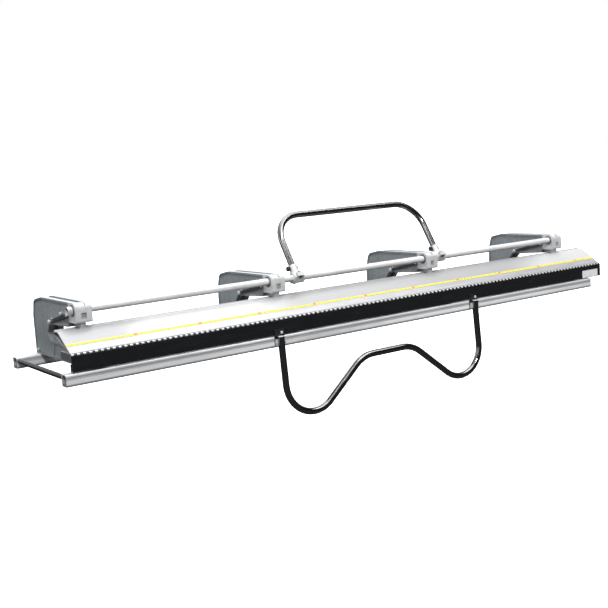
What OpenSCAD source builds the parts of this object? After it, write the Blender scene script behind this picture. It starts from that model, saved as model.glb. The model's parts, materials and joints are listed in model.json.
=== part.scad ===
// Portable bending brake for sheet metal: two rails, four C-frames, a fixed jaw,
// a clamping anvil on pivot arms, a lock rod with a handle, and a hinged apron.
// X runs along the brake, -Y is the front, Z is up. Origin: middle of the working
// edge, on the underside of the front rail, on that rail's centre line.

/* [Brake] */
// Length of the working edge
brake_length = 3200; // [3150:5:3300]
// Height of the work plane above the underside of the rails
work_height = 129; // [127:0.5:133]
// Working edge beyond the middle of the first C-frame
edge_left = 114.25; // [100:0.25:160]
// Working edge beyond the middle of the last C-frame
edge_right = 228.25; // [180:0.25:240]

/* [Rails] */
// Height and width of a rail
rail_size = 50; // [46:0.5:51]
// Wall of a rail
rail_wall = 4; // [3:0.25:5]
// Corner radius of a rail
rail_corner = 6; // [4.5:0.25:8]
// Distance between the centre lines of the rails
rail_spacing = 570; // [560:1:620]
// Rail beyond the outer C-frames
rail_overhang = 110; // [60:1:160]
// Depth of the groove along a rail's front
groove_depth = 1.5; // [0.5:0.1:2]
// Width of that groove
groove_width = 12; // [6:0.5:14]
// Height of that groove's lower edge
groove_height = 26; // [18:0.5:28]
// Diameter of a crossbar
crossbar_diameter = 22; // [16:0.5:26]
// Distance of a crossbar's centre from the rail's end
crossbar_inset = 12; // [12:0.5:30]
// Height of a crossbar's centre
crossbar_height = 33; // [20:0.5:34]
// Diameter of a stand bolt's hole
stand_hole = 11; // [8:0.5:14]
// Spacing of the stand bolts
stand_pitch = 900; // [600:10:950]

/* [C-frames] */
// Width of a C-frame
frame_width = 72; // [68:0.5:80]
// Thickness of each cheek of a C-frame
cheek = 24; // [20:0.5:24.5]
// Height of a C-frame above the rails
frame_height = 261; // [258:1:280]
// Front of the foot, behind the front rail's centre line
foot_front = 6; // [4:0.5:10]
// Front of the nose
nose_front = 87; // [84:0.5:88]
// Underside of the nose, above the work plane
nose_clear = 99; // [96:0.5:100]
// Length of the nose along Y
nose_length = 78; // [74:0.5:80]
// Depth of the upper arm where the nose ends
arm_depth = 104; // [100:0.5:106]
// Depth of the upper arm at the back of the throat
arm_depth_back = 112; // [110:0.5:113]
// Back of the throat
throat_back = 430; // [425:1:440]
// Table of the C-frame below the work plane
table_drop = 3; // [2:0.25:5]
// Width of the raised rim
rim = 9; // [6:0.5:11]
// Depth of the pockets inside the rim
pocket_depth = 4; // [2:0.25:6]
// Depth of the valley between the cheeks
valley = 12; // [8:0.5:13]
// Thickness of the wall across the nose
nose_wall = 3.5; // [2.5:0.25:3.75]

/* [Lock rod] */
// Diameter of the lock rod
rod_diameter = 32; // [30:0.5:34]
// Lock rod behind the front of the nose
rod_set_back = 34; // [33.5:0.25:35]
// Lock rod below the top of the C-frame
rod_set_down = 31; // [30:0.25:33]
// Wall of a bearing bush
bush_wall = 3; // [2:0.25:3.5]
// Width of a bush's collar
bush_flange = 3; // [2:0.25:4]
// Rod beyond the first C-frame
rod_end = 14; // [8:0.5:20]
// Collar beyond the first C-frame
collar_length = 24; // [22:0.5:30]
// Wall of that collar
collar_wall = 2.5; // [2:0.25:6]
// Throw of an eccentric
throw = 8; // [7.5:0.1:8.1]
// Least wall of an eccentric beside the rod
eccentric_wall = 3; // [2.5:0.25:3.25]
// Thickness of eccentrics, yokes and jaw arms
link_width = 22; // [18:0.5:23]

/* [Lock handle] */
// Diameter of the handle tubes
tube_diameter = 32; // [28:0.5:33]
// Gap between the second C-frame and the left clamp
clamp_gap_left = 62.25; // [40:0.25:80]
// Gap between the third C-frame and the right clamp
clamp_gap_right = 8.75; // [5.5:0.25:20]
// Height of the lock handle's bar above the rod
lock_reach = 332; // [260:1:340]
// Bend radius of the lock handle
lock_bend = 140; // [50:1:150]
// Lean of the lock handle above the horizontal
lock_lean = 58.5; // [50:0.5:75]
// Width of a clamp
clamp_width = 58; // [50:0.5:60]
// Wall of a clamp round the rod
clamp_wall = 10; // [8:0.25:12]
// Length of a clamp's socket above the rod
socket_length = 62; // [56:0.5:80]
// Wall of that socket
socket_wall = 5; // [4:0.25:7]
// Diameter of a clamp's knob
knob_diameter = 24; // [16:0.5:28]
// Length of that knob
knob_length = 14; // [8:0.5:18]

/* [Anvil] */
// Depth of the anvil from nose to rear
anvil_depth = 166; // [162:0.5:168]
// Height of the anvil's bead above the work plane
anvil_height = 81.3; // [78:0.1:82]
// Radius of the bead
bead_radius = 10; // [7:0.25:10.5]
// Step of the deck below the bead
bead_step = 6; // [3:0.25:7]
// Wall of the anvil
anvil_wall = 5; // [3:0.25:6]
// Gap between the clamped anvil and the work plane
work_gap = 0.3; // [0.2:0.05:0.5]
// Thickness of the anvil's edge
edge_thickness = 2; // [1.5:0.1:3]
// Length of the nose strip along the slope
strip_length = 38; // [30:0.5:39]
// Thickness of the nose strip
strip_thickness = 4; // [2.5:0.25:5]
// Width of the measuring tape
tape_width = 13; // [8:0.5:16]
// Thickness of the tape
tape_thickness = 0.6; // [0.4:0.05:1]
// Diameter of a pivot bolt
pivot_diameter = 16; // [12:0.5:17]
// Diameter of a jaw arm's eye
eye_diameter = 40; // [34:0.5:42]

/* [Apron and hinge] */
// Hinge axis in front of the front rail's centre line
hinge_forward = 18; // [17:0.25:20]
// Radius of the hinge barrel
barrel_radius = 5; // [4.5:0.05:5.2]
// Diameter of the hinge rod
hinge_pin = 5; // [4:0.1:5.5]
// Spacing of like knuckles
knuckle_pitch = 25.4; // [24:0.1:30]
// Gap between neighbouring knuckles
knuckle_gap = 0.4; // [0.3:0.05:1]
// Apron's face in front of the hinge axis
face_forward = 7; // [6.5:0.1:7.5]
// Height of the apron's face
face_height = 67; // [60:0.5:68]
// Thickness of the apron's upper part
apron_thickness = 9; // [8:0.25:9.5]
// Depth of the apron's lower part
apron_foot = 25; // [20:0.5:26]
// Height of that lower part
apron_foot_height = 29; // [20:0.5:34]
// Depth of the fixed jaw behind the hinge
jaw_depth = 108; // [104:0.5:112]
// Height of the fixed jaw
jaw_height = 32; // [28:0.5:33]
// Width of the jaw's wear strip
wear_width = 32; // [24:0.5:40]
// Thickness of the jaw's wear strip
wear_thickness = 2; // [1:0.1:3]
// Length of the blank label on the apron
label_length = 130; // [80:1:150]
// Height of that label
label_height = 40; // [20:0.5:45]
// Thickness of that label
label_thickness = 0.4; // [0.3:0.05:0.8]

/* [Bending handle] */
// Half of the distance between the bending handle's legs
bend_half = 603.5; // [560:0.5:660]
// Handle's middle to the left of the working edge's middle
bend_shift = 22; // [0:0.5:40]
// Half of the plateau in the middle
bend_plateau = 153.5; // [120:0.5:220]
// Plateau below the underside of the rails
bend_plateau_drop = 111; // [80:1:150]
// Slope of the middle limbs
bend_slope = 38.8; // [36:0.1:44]
// Radius of the outer bends
bend_outer = 144; // [110:1:150]
// Radius of the inner bends
bend_inner = 170; // [60:1:180]
// Top of the legs above the underside of the rails
bend_top = 52; // [46:0.5:53]
// Forward lean of the handle below its straps
bend_kick = 4; // [0:0.1:8]
// Thickness of the straps that hold the legs
strap_thickness = 6; // [4:0.25:8]
// Width of those straps
strap_width = 50; // [48:0.5:56]

/* [Hidden] */
$fn = 72;
// overrun of every cut, and the clearances
over = 1;
run_gap = 0.05;
piece_gap = 0.3;

rod_radius = rod_diameter / 2;
tube_radius = tube_diameter / 2;
pin_radius = hinge_pin / 2;
pivot_radius = pivot_diameter / 2;

frame_pitch = (brake_length - edge_left - edge_right) / 3;
base_offset = (edge_right - edge_left) / 2;
frame_first = -base_offset - 3 * frame_pitch / 2 - frame_width / 2;
frame_mid = frame_first + frame_width / 2;
rail_left = frame_first - rail_overhang;
rail_length = 3 * frame_pitch + frame_width + 2 * rail_overhang;
rear_y = rail_spacing;
frame_rear = rail_spacing + rail_size / 2;
frame_top = rail_size + frame_height;
table_z = work_height - table_drop;
rod_y = nose_front + rod_set_back;
rod_z = frame_top - rod_set_down;

hinge_y = -hinge_forward;
hinge_z = work_height - barrel_radius;
hinge_reach = barrel_radius + 1.2 * knuckle_gap;
knuckle_count = round(brake_length / knuckle_pitch);
knuckle_left = -knuckle_count * knuckle_pitch / 2;
jaw_front = hinge_y + hinge_reach;
jaw_rear = hinge_y + jaw_depth;
jaw_seat = work_height - jaw_height;

// pivot of the jaw arms, at the upper rear corner of the throat
pivot_inset = 55;
pivot_rise = 13;
pivot_y = throat_back - pivot_inset;
pivot_z = frame_top - arm_depth_back + pivot_rise;

// outline of a C-frame: y, z, corner radius
foot_round = 6;
nose_round = 26;
chin_round = 10;
step_run = 13;
step_round = 8;
throat_round = 20;
back_round = 70;
knee_lean = 5;
shoulder_lean = 27;
shoulder_drop = 18;
crown_run = 118;
throat_lip = 34;
throat_toe = 16;
knee_share = 0.65;
back_share = 0.55;
arm_low = frame_top - arm_depth;
arm_low_back = frame_top - arm_depth_back;
nose_low = work_height + nose_clear;
frame_outline = [
    [foot_front, rail_size, foot_round],
    [frame_rear, rail_size, foot_round],
    [frame_rear - knee_lean, rail_size + knee_share * frame_height, back_round],
    [frame_rear - shoulder_lean, frame_top - shoulder_drop, back_round / 2],
    [frame_rear - crown_run, frame_top, back_round],
    [nose_front, frame_top, nose_round],
    [nose_front, nose_low, chin_round],
    [nose_front + nose_length, nose_low, step_round],
    [nose_front + nose_length + step_run, arm_low, step_round],
    [throat_back - throat_lip, arm_low_back, throat_round / 2],
    [throat_back, arm_low_back - back_share * (arm_low_back - table_z), throat_round],
    [throat_back - throat_toe, table_z, throat_round],
    [jaw_rear, table_z, chin_round / 4],
    [jaw_rear, jaw_seat, 0],
    [foot_front, jaw_seat, foot_round / 2]
];
nose_window_low = 15;
nose_window = 26;
slot_open = 113;
slot_roof = 29;
slot_back = 3;

// stand bolts, and the bolts that hold the C-frames to the rails
stand_radius = stand_hole / 2;
rail_bolt_radius = 4;
rail_bolt_head = 7;
rail_bolt_cap = 6;
rail_bolt_depth = 12;
front_bolt_y = rail_size / 2 - rail_wall - rail_corner / 3 - rail_bolt_head;
rear_bolt_back = 33;
rear_bolt_rise = 20;
rear_bolt_y = frame_rear - rear_bolt_back;
rear_bolt_z = rail_size + rear_bolt_rise;
crossbar_length = rail_spacing - rail_size;

// rib on a cheek's lower arm
rib_share = 0.835;
rib_lean = 28;
rib_width = 7;

// bearing bushes, eccentrics and yokes
bush_radius = rod_radius + bush_wall;
flange_radius = bush_radius + 5 * bush_wall / 3;
rod_past = 5;
collar_radius = rod_radius + collar_wall;
throw_angle = 45;
eccentric_radius = rod_radius + throw + eccentric_wall;
cam_y = rod_y + throw * cos(throw_angle);
cam_z = rod_z - throw * sin(throw_angle);
cam_slack = 0.4;
cam_slide = 2.1;
cam_slide_set = 1.2;
yoke_radius = eccentric_radius + throw;

// anvil, in the plane of its section
edge_back = 6;
edge_flat = 8;
edge_y = hinge_y + edge_back;
edge_z = work_height + work_gap;
anvil_rear = edge_y + anvil_depth;
heel = 16;
heel_height = 9;
heel_round = 4;
deck_run = 36;
deck_drop = 4;
bead_y = anvil_rear - heel;
bead_z = work_height + anvil_height - bead_radius;
deck_y = bead_y - deck_run;
deck_z = bead_z + bead_radius - deck_drop;
shelf_z = bead_z + bead_radius - bead_step;
heel_z = bead_z - heel_height;
slope_z = edge_z + edge_thickness;
slope = atan2(deck_z - slope_z, deck_y - edge_y);
tape_gap = 2;
cell_start = 60;
anvil_outline = [
    [edge_y, edge_z, 0],
    [edge_y + edge_flat, edge_z, 0],
    [anvil_rear - heel_round, heel_z - heel_round, heel_round],
    [anvil_rear, heel_z, heel_round / 2],
    [anvil_rear, shelf_z, heel_round],
    [bead_y, shelf_z, 0],
    [deck_y, deck_z, heel_round],
    [edge_y, slope_z, 0]
];
cell_outline = [
    [edge_y + edge_flat, edge_z, 0],
    [anvil_rear, heel_z - heel_round, 0],
    [anvil_rear, shelf_z, 0],
    [bead_y, shelf_z, 0],
    [deck_y, deck_z, 0]
];
deck_screw_run = 12;
deck_screw_shift = edge_right / 2;
deck_screw_head = 6;
deck_screw_radius = 3;
deck_screw_length = 14;
deck_screw_rise = 2.5;

// jaw arms and yokes
arm_front = nose_front + nose_length;
arm_high = 33;
tongue_run = 62;
tongue_high = 56;
toe_drop = 6;
yoke_heel = 30;
yoke_heel_high = 10;
yoke_screw_radius = 5;
yoke_screw_head = 8;
yoke_screw_cap = 7;
yoke_screw_depth = 18;
yoke_screw_inset = 13;

// pivot bolts and brace straps
pivot_head = 10;
pivot_head_high = 8;
brace_bolt_radius = 4;
brace_bolt_head = 6;
brace_bolt_high = 6;
brace_width = 15;
brace_thickness = 6;
brace_run = 204;
brace_rise = 45;
guide_back = 84;
guide_drop = 54;
guide_radius = 4;
guide_head = 7;
guide_high = 7;

// fixed jaw and apron
jaw_round = 2;
jaw_screw_radius = 4;
jaw_screw_head = 8;
jaw_screw_cap = 5;
jaw_screw_sink = 0.5;
jaw_screw_depth = 24;
jaw_screw_inset = 20;
face_y = hinge_y - face_forward;
lip_drop = 2;
face_top = hinge_z - lip_drop;
face_bottom = face_top - face_height;
apron_rise = 6;
leaf_thickness = 2.5;
leaf_height = 30;
face_round = 3;
label_inset = 24;
label_low = 3;

// bending handle, its straps, clips and bolts
tube_seat = 3;
bend_y = face_y - strap_thickness - tube_radius + tube_seat;
strap_low = 10;
strap_high = 82;
strap_relief = 0.5;
bend_bolt_radius = 4;
bend_bolt_head = 7;
bend_bolt_cap = 5;
bend_bolt_high = 66;
bend_bolt_side = 12;
bend_bolt_depth = 10;
clip_high = 28;
clip_thickness = 10;
clip_screw_radius = 2.5;
clip_screw_head = 4;
clip_screw_cap = 3;
clip_screw_depth = 4;
kick_start = strap_low - over;
kick_run = 30;
kick_steps = 4;
bend_deep = -bend_plateau_drop - (bend_half - bend_plateau) * tan(bend_slope);
bend_points = [
    [-bend_half - bend_shift, bend_top],
    [-bend_half - bend_shift, bend_deep, bend_outer],
    [-bend_plateau - bend_shift, -bend_plateau_drop, bend_inner],
    [bend_plateau - bend_shift, -bend_plateau_drop, bend_inner],
    [bend_half - bend_shift, bend_deep, bend_outer],
    [bend_half - bend_shift, bend_top]
];

// lock handle and its clamps
socket_floor = rod_radius + clamp_wall + 8 * rod_radius / 16;
clamp_radius = rod_radius + clamp_wall;
socket_radius = tube_radius + socket_wall;
lug_width = 36;
lug_thickness = 10;
lug_reach = 15;
clamp_bolt_radius = 4;
clamp_bolt_head = 7;
clamp_bolt_cap = 5;
cross_pin_radius = 4;
cross_pin_head = 7;
cross_pin_cap = 5;
cross_pin_inset = 12;
lock_left = frame_mid + frame_pitch + frame_width / 2 + clamp_gap_left + clamp_width / 2;
lock_right = frame_mid + 2 * frame_pitch + frame_width / 2 + clamp_gap_right + clamp_width / 2;
lock_points = [
    [lock_left, socket_floor],
    [lock_left, lock_reach, lock_bend],
    [lock_right, lock_reach, lock_bend],
    [lock_right, socket_floor]
];

// corner point of an outline moved inwards by d
function unit(v) = v / norm(v);
function left_of(v) = [-v[1], v[0]];
function flat(p) = [p[0], p[1]];
function at(pts, i) = pts[(i + len(pts)) % len(pts)];
function cross_of(a, b) = a[0] * b[1] - a[1] * b[0];
function dir(pts, i) = unit(flat(at(pts, i + 1)) - flat(at(pts, i)));
function turn(pts, i) = cross_of(dir(pts, i - 1), dir(pts, i));
function inset_point(pts, i, d) =
    let(a = dir(pts, i - 1), b = dir(pts, i), m = left_of(a) + left_of(b))
    flat(at(pts, i)) + m * d / (1 + left_of(a) * left_of(b));
function inset(pts, d) = [for (i = [0:len(pts) - 1])
    let(p = inset_point(pts, i, d), s = turn(pts, i) > 0 ? -1 : 1)
    [p[0], p[1], max(at(pts, i)[2] + s * d, 0)]];

// distance from a corner to its tangent points
function tangent(pts, i) =
    at(pts, i)[2] * sqrt((1 - dir(pts, i - 1) * dir(pts, i)) / (1 + dir(pts, i - 1) * dir(pts, i)));
function before(pts, i) = flat(at(pts, i)) - dir(pts, i - 1) * tangent(pts, i);
function after(pts, i) = flat(at(pts, i)) + dir(pts, i) * tangent(pts, i);
function centre(pts, i) =
    before(pts, i) + left_of(dir(pts, i - 1)) * at(pts, i)[2] * (turn(pts, i) > 0 ? 1 : -1);
function chords(pts) = [for (i = [0:len(pts) - 1])
    each (at(pts, i)[2] > 0 ? [before(pts, i), after(pts, i)] : [flat(at(pts, i))])];

// the piece of disc between a rounded corner's chord and its corner point
module corner(pts, i) {
    intersection() {
        polygon([before(pts, i), flat(at(pts, i)), after(pts, i)]);
        translate(centre(pts, i)) circle(r = at(pts, i)[2]);
    }
}

// closed outline with rounded corners, points listed anticlockwise
module rounded(pts) {
    difference() {
        union() {
            polygon(chords(pts));
            for (i = [0:len(pts) - 1])
                if (at(pts, i)[2] > 0 && turn(pts, i) > 0) corner(pts, i);
        }
        for (i = [0:len(pts) - 1])
            if (at(pts, i)[2] > 0 && turn(pts, i) < 0) corner(pts, i);
    }
}

// section in Y and Z, extruded along X
module along(x, length) {
    translate([x, 0, 0]) rotate([90, 0, 90]) linear_extrude(height = length) children();
}

module bar(x, y, z, length, radius) {
    translate([x, y, z]) rotate([0, 90, 0]) cylinder(h = length, r = radius);
}

module post(x, y, z, height, radius) {
    translate([x, y, z]) cylinder(h = height, r = radius);
}

module stud(x, y, z, length, radius) {
    translate([x, y, z]) rotate([90, 0, 0]) cylinder(h = length, r = radius);
}

module block(x, y, z, dx, dy, dz) {
    translate([x, y, z]) cube([dx, dy, dz]);
}

// straight run of a tube between two points of a plane
module run(a, b, radius) {
    d = b - a;
    translate([a[0], a[1], 0]) rotate([0, 0, atan2(d[1], d[0])]) rotate([0, 90, 0])
        cylinder(h = norm(d), r = radius);
}

function open_dir(p, i) = unit(flat(p[i + 1]) - flat(p[i]));
function bend_angle(p, i) = acos(open_dir(p, i - 1) * open_dir(p, i));
function bend_run(p, i) = i == 0 || i == len(p) - 1 ? 0 : p[i][2] * tan(bend_angle(p, i) / 2);
function bend_side(p, i) = cross_of(open_dir(p, i - 1), open_dir(p, i)) > 0 ? 1 : -1;
function bend_in(p, i) = flat(p[i]) - open_dir(p, i - 1) * bend_run(p, i);
function bend_out(p, i) = flat(p[i]) + open_dir(p, i) * bend_run(p, i);
function bend_centre(p, i) = bend_in(p, i) + left_of(open_dir(p, i - 1)) * p[i][2] * bend_side(p, i);

// bent tube in a plane: runs and quarter-ring bends
module tube(p, radius) {
    for (i = [0:len(p) - 2])
        run(i == 0 ? flat(p[0]) : bend_out(p, i), i == len(p) - 2 ? flat(p[i + 1]) : bend_in(p, i + 1),
            radius);
    for (i = [1:len(p) - 2]) {
        c = bend_centre(p, i);
        s = (bend_side(p, i) > 0 ? bend_in(p, i) : bend_out(p, i)) - c;
        translate([c[0], c[1], 0]) rotate([0, 0, atan2(s[1], s[0])])
            rotate_extrude(angle = bend_angle(p, i)) translate([p[i][2], 0]) circle(r = radius);
    }
}

// swept tube in a plane: one closed skin of triangles, for bends of any angle
sweep_sides = 24;
sweep_step = 10;
function swing(v, a) = [v[0] * cos(a) - v[1] * sin(a), v[0] * sin(a) + v[1] * cos(a)];
function bend_rings(p, i) = let(n = ceil(bend_angle(p, i) / sweep_step)) [for (k = [0:n])
    let(a = bend_side(p, i) * bend_angle(p, i) * k / n, c = bend_centre(p, i))
    [c + swing(bend_in(p, i) - c, a), swing(open_dir(p, i - 1), a)]];
function leg_rings(p, i, d) = [for (k = [0:kick_steps])
    [[p[i][0], kick_start - kick_run * (d < 0 ? k : kick_steps - k) / kick_steps], [0, d]]];
function rings(p) = [
    [flat(p[0]), open_dir(p, 0)],
    each leg_rings(p, 0, -1),
    for (i = [1:len(p) - 2]) each bend_rings(p, i),
    each leg_rings(p, len(p) - 1, 1),
    [flat(p[len(p) - 1]), open_dir(p, len(p) - 2)]
];

// how far the lean has carried a point forward at a height
function kick(z) = let(d = kick_start - z)
    d <= 0 ? 0 : tan(bend_kick) * (d < kick_run ? d * d / (2 * kick_run) : d - kick_run / 2);
function ring_points(r, radius) = [for (k = [0:sweep_sides - 1])
    let(t = (k + 1 / 2) * 360 / sweep_sides, q = r[0] + left_of(r[1]) * radius * cos(t))
    [q[0], q[1], radius * sin(t) + kick(q[1])]];

module sweep(p, radius) {
    all = rings(p);
    m = sweep_sides;
    polyhedron(
        points = [for (r = all) each ring_points(r, radius)],
        faces = [
            [for (k = [0:m - 1]) k],
            [for (k = [m - 1:-1:0]) (len(all) - 1) * m + k],
            for (i = [0:len(all) - 2], k = [0:m - 1]) each [
                [i * m + k, (i + 1) * m + k, i * m + (k + 1) % m],
                [(i + 1) * m + k, (i + 1) * m + (k + 1) % m, i * m + (k + 1) % m]
            ]
        ]
    );
}

function box_outline(y, z, w, h, r) = [[y, z, r], [y + w, z, r], [y + w, z + h, r], [y, z + h, r]];
function frame_x(i) = frame_mid + i * frame_pitch;

// rails and crossbars
module rail(y, bolt_y) {
    difference() {
        along(rail_left, rail_length) difference() {
            rounded(box_outline(y - rail_size / 2, 0, rail_size, rail_size, rail_corner));
            rounded(box_outline(y - rail_size / 2 + rail_wall, rail_wall, rail_size - 2 * rail_wall,
                rail_size - 2 * rail_wall, rail_corner / 3));
            translate([y - rail_size / 2 - over, groove_height]) square([over + groove_depth, groove_width]);
        }
        for (i = [-1.5:1:1.5])
            post(-base_offset + i * stand_pitch, y, -over, rail_wall + 2 * over, stand_radius);
        for (i = [0:3])
            post(frame_x(i), bolt_y, rail_size - rail_wall - over, rail_wall + 2 * over, rail_bolt_radius);
    }
}

module front_rail() {
    color("gainsboro") rail(0, front_bolt_y);
}

module rear_rail() {
    color("gainsboro") rail(rear_y, rear_y);
}

module crossbar(x) {
    translate([x, rail_size / 2, crossbar_height]) rotate([-90, 0, 0])
        cylinder(h = crossbar_length, r = crossbar_diameter / 2);
}

module crossbar_left() {
    color("dimgray") crossbar(rail_left + crossbar_inset);
}

module crossbar_right() {
    color("dimgray") crossbar(rail_left + rail_length - crossbar_inset);
}

// C-frames: two cheeks, a recessed web between them, pads and the nose's wall
module bosses() {
    translate([rod_y, rod_z]) circle(r = flange_radius);
    translate([pivot_y, pivot_z]) circle(r = pivot_diameter);
    translate([pivot_y - brace_run, pivot_z + brace_rise]) circle(r = 2 * brace_bolt_radius);
    translate([nose_front + nose_length + guide_back, frame_top - guide_drop]) circle(r = 2 * guide_radius);
    translate([rear_bolt_y, rear_bolt_z]) circle(r = 2 * rail_bolt_radius);
    polygon([
        [rib_share * throat_back + rib_lean, rail_size],
        [rib_share * throat_back + rib_lean + rib_width, rail_size],
        [rib_share * throat_back + rib_width, table_z],
        [rib_share * throat_back, table_z]
    ]);
    translate([nose_front, nose_low]) square([nose_length, frame_top - nose_low]);
}

module c_frame(i) {
    x = frame_x(i) - frame_width / 2;
    web = frame_width - 2 * cheek;
    difference() {
        union() {
            for (s = [0, frame_width - cheek])
                along(x + s, cheek) union() {
                    rounded(frame_outline);
                    translate([pivot_y, pivot_z]) circle(r = pivot_diameter);
                }
            difference() {
                along(x + cheek, web) rounded(inset(frame_outline, valley));
                block(x + cheek - over, nose_front, table_z, web + 2 * over, slot_open, frame_height);
                block(x + cheek - over, nose_front, arm_low_back - 2 * pivot_rise, web + 2 * over,
                    pivot_y + eye_diameter / 2 + slot_back - nose_front,
                    arm_depth_back - slot_roof + 2 * pivot_rise);
            }
            along(x + cheek, web) intersection() {
                rounded(frame_outline);
                translate([nose_front, nose_low]) square([nose_wall, frame_top - nose_low]);
            }
            block(x + cheek, foot_front + foot_round, rail_size, web, rail_size, valley);
            block(x + cheek, rear_y - rail_size / 2, rail_size, web, rail_size - foot_round, valley);
            block(x + cheek, foot_front + foot_round, jaw_seat - valley, web,
                jaw_rear - foot_front - 2 * foot_round, valley);
        }
        for (s = [-over, frame_width - pocket_depth])
            along(x + s, pocket_depth + over) difference() {
                rounded(inset(frame_outline, rim));
                bosses();
            }
        bar(x - over, rod_y, rod_z, frame_width + 2 * over, bush_radius);
        bar(x - over, pivot_y, pivot_z, frame_width + 2 * over, pivot_radius);
        bar(x - over, pivot_y - brace_run, pivot_z + brace_rise, cheek + over, brace_bolt_radius);
        bar(x - over, nose_front + nose_length + guide_back, frame_top - guide_drop, cheek + over,
            guide_radius);
        bar(x - over, rear_bolt_y, rear_bolt_z, frame_width + 2 * over, rail_bolt_radius);
        for (y = [front_bolt_y, rear_y])
            post(x + frame_width / 2, y, rail_size - over, rail_bolt_depth + over, rail_bolt_radius);
        post(x + frame_width / 2, jaw_rear - jaw_screw_inset, jaw_seat - jaw_screw_depth,
            jaw_screw_depth + over, jaw_screw_radius);
        along(x + cheek, web) translate([nose_front - over, nose_low + nose_window_low])
            square([nose_wall + 2 * over, nose_window]);
    }
}

module c_frame_1() {
    color("lightslategray") c_frame(0);
}

module c_frame_2() {
    color("lightslategray") c_frame(1);
}

module c_frame_3() {
    color("lightslategray") c_frame(2);
}

module c_frame_4() {
    color("lightslategray") c_frame(3);
}

module rail_bolts() {
    color("silver") for (i = [0:3]) {
        for (y = [front_bolt_y, rear_y]) {
            post(frame_x(i), y, rail_size - rail_wall, rail_wall + rail_bolt_depth, rail_bolt_radius);
            post(frame_x(i), y, rail_size - rail_wall - rail_bolt_cap, rail_bolt_cap, rail_bolt_head);
        }
    }
}

module foot_bolts() {
    color("silver") for (i = [0:3]) {
        x = frame_x(i) - frame_width / 2;
        bar(x, rear_bolt_y, rear_bolt_z, frame_width, rail_bolt_radius);
        for (s = [-rail_bolt_cap, frame_width])
            bar(x + s, rear_bolt_y, rear_bolt_z, rail_bolt_cap, rail_bolt_head);
    }
}

module rod_bushes() {
    color("burlywood") for (i = [0:3]) {
        x = frame_x(i) - frame_width / 2;
        difference() {
            union() {
                bar(x, rod_y, rod_z, cheek, bush_radius);
                bar(x + frame_width - cheek, rod_y, rod_z, cheek, bush_radius);
                bar(x - bush_flange, rod_y, rod_z, bush_flange, flange_radius);
                bar(x + frame_width, rod_y, rod_z, bush_flange, flange_radius);
            }
            bar(x - bush_flange - over, rod_y, rod_z, frame_width + 2 * bush_flange + 2 * over,
                rod_radius + run_gap);
        }
    }
}

module pivot_bolts() {
    color("silver") for (i = [0:3]) {
        x = frame_x(i) - frame_width / 2;
        bar(x - brace_thickness, pivot_y, pivot_z, frame_width + brace_thickness, pivot_radius);
        bar(x - brace_thickness - pivot_head_high, pivot_y, pivot_z, pivot_head_high, pivot_head);
        bar(x + frame_width, pivot_y, pivot_z, pivot_head_high, pivot_head);
    }
}

module brace_straps() {
    color("darkslategray") for (i = [0:3]) {
        along(frame_x(i) - frame_width / 2 - brace_thickness, brace_thickness)
            translate([pivot_y, pivot_z]) rotate(atan2(brace_rise, -brace_run)) difference() {
                union() {
                    circle(r = brace_width / 2);
                    translate([norm([brace_run, brace_rise]), 0]) circle(r = brace_width / 2);
                    translate([0, -brace_width / 2]) square([norm([brace_run, brace_rise]), brace_width]);
                }
                circle(r = pivot_radius);
                translate([norm([brace_run, brace_rise]), 0]) circle(r = brace_bolt_radius);
            }
    }
}

module brace_bolts() {
    color("silver") for (i = [0:3]) {
        x = frame_x(i) - frame_width / 2 - brace_thickness;
        bar(x, pivot_y - brace_run, pivot_z + brace_rise, brace_thickness + cheek, brace_bolt_radius);
        bar(x - brace_bolt_high, pivot_y - brace_run, pivot_z + brace_rise, brace_bolt_high,
            brace_bolt_head);
        guide = x + brace_thickness;
        bar(guide, nose_front + nose_length + guide_back, frame_top - guide_drop, cheek, guide_radius);
        bar(guide - guide_high, nose_front + nose_length + guide_back, frame_top - guide_drop, guide_high,
            guide_head);
    }
}

// fixed jaw with its knuckles, wear strip and screws
module knuckles(first) {
    for (i = [-1:knuckle_count])
        translate([knuckle_left + (i + first) * knuckle_pitch - knuckle_gap / 2, 0, 0]) children();
}

module fixed_jaw() {
    color("whitesmoke") difference() {
        along(-brake_length / 2, brake_length) difference() {
            union() {
                rounded(box_outline(jaw_front, jaw_seat, jaw_rear - jaw_front, jaw_height, jaw_round));
                translate([hinge_y, hinge_z]) circle(r = barrel_radius);
                translate([hinge_y, hinge_z - barrel_radius])
                    square([hinge_reach + jaw_round, 2 * barrel_radius]);
            }
            translate([hinge_y, hinge_z]) circle(r = pin_radius + run_gap);
            translate([jaw_front + 2 * jaw_round, work_height - wear_thickness])
                square([wear_width, wear_thickness + over]);
        }
        knuckles(0.5)
            block(0, hinge_y - hinge_reach, hinge_z - hinge_reach, knuckle_pitch / 2 + knuckle_gap,
                2 * hinge_reach, 2 * hinge_reach);
        for (i = [0:3]) jaw_screw(i, over);
    }
}

module jaw_screw(i, extra) {
    top = work_height - jaw_screw_sink;
    post(frame_x(i), jaw_rear - jaw_screw_inset, top - jaw_screw_cap, jaw_screw_cap + extra,
        jaw_screw_head);
    post(frame_x(i), jaw_rear - jaw_screw_inset, jaw_seat - jaw_screw_depth,
        top - jaw_screw_cap - jaw_seat + jaw_screw_depth, jaw_screw_radius);
}

module jaw_screws() {
    color("silver") for (i = [0:3]) jaw_screw(i, 0);
}

module wear_strip() {
    color("lightgray") along(-brake_length / 2, brake_length)
        translate([jaw_front + 2 * jaw_round, work_height - wear_thickness])
            square([wear_width, wear_thickness]);
}

module hinge_rod() {
    color("silver") bar(-brake_length / 2, hinge_y, hinge_z, brake_length, pin_radius);
}

// lock rod, eccentrics and collar
module lock_rod() {
    color("silver") bar(frame_x(0) - frame_width / 2 - rod_end, rod_y, rod_z,
        3 * frame_pitch + frame_width + rod_end + rod_past, rod_radius);
}

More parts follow.
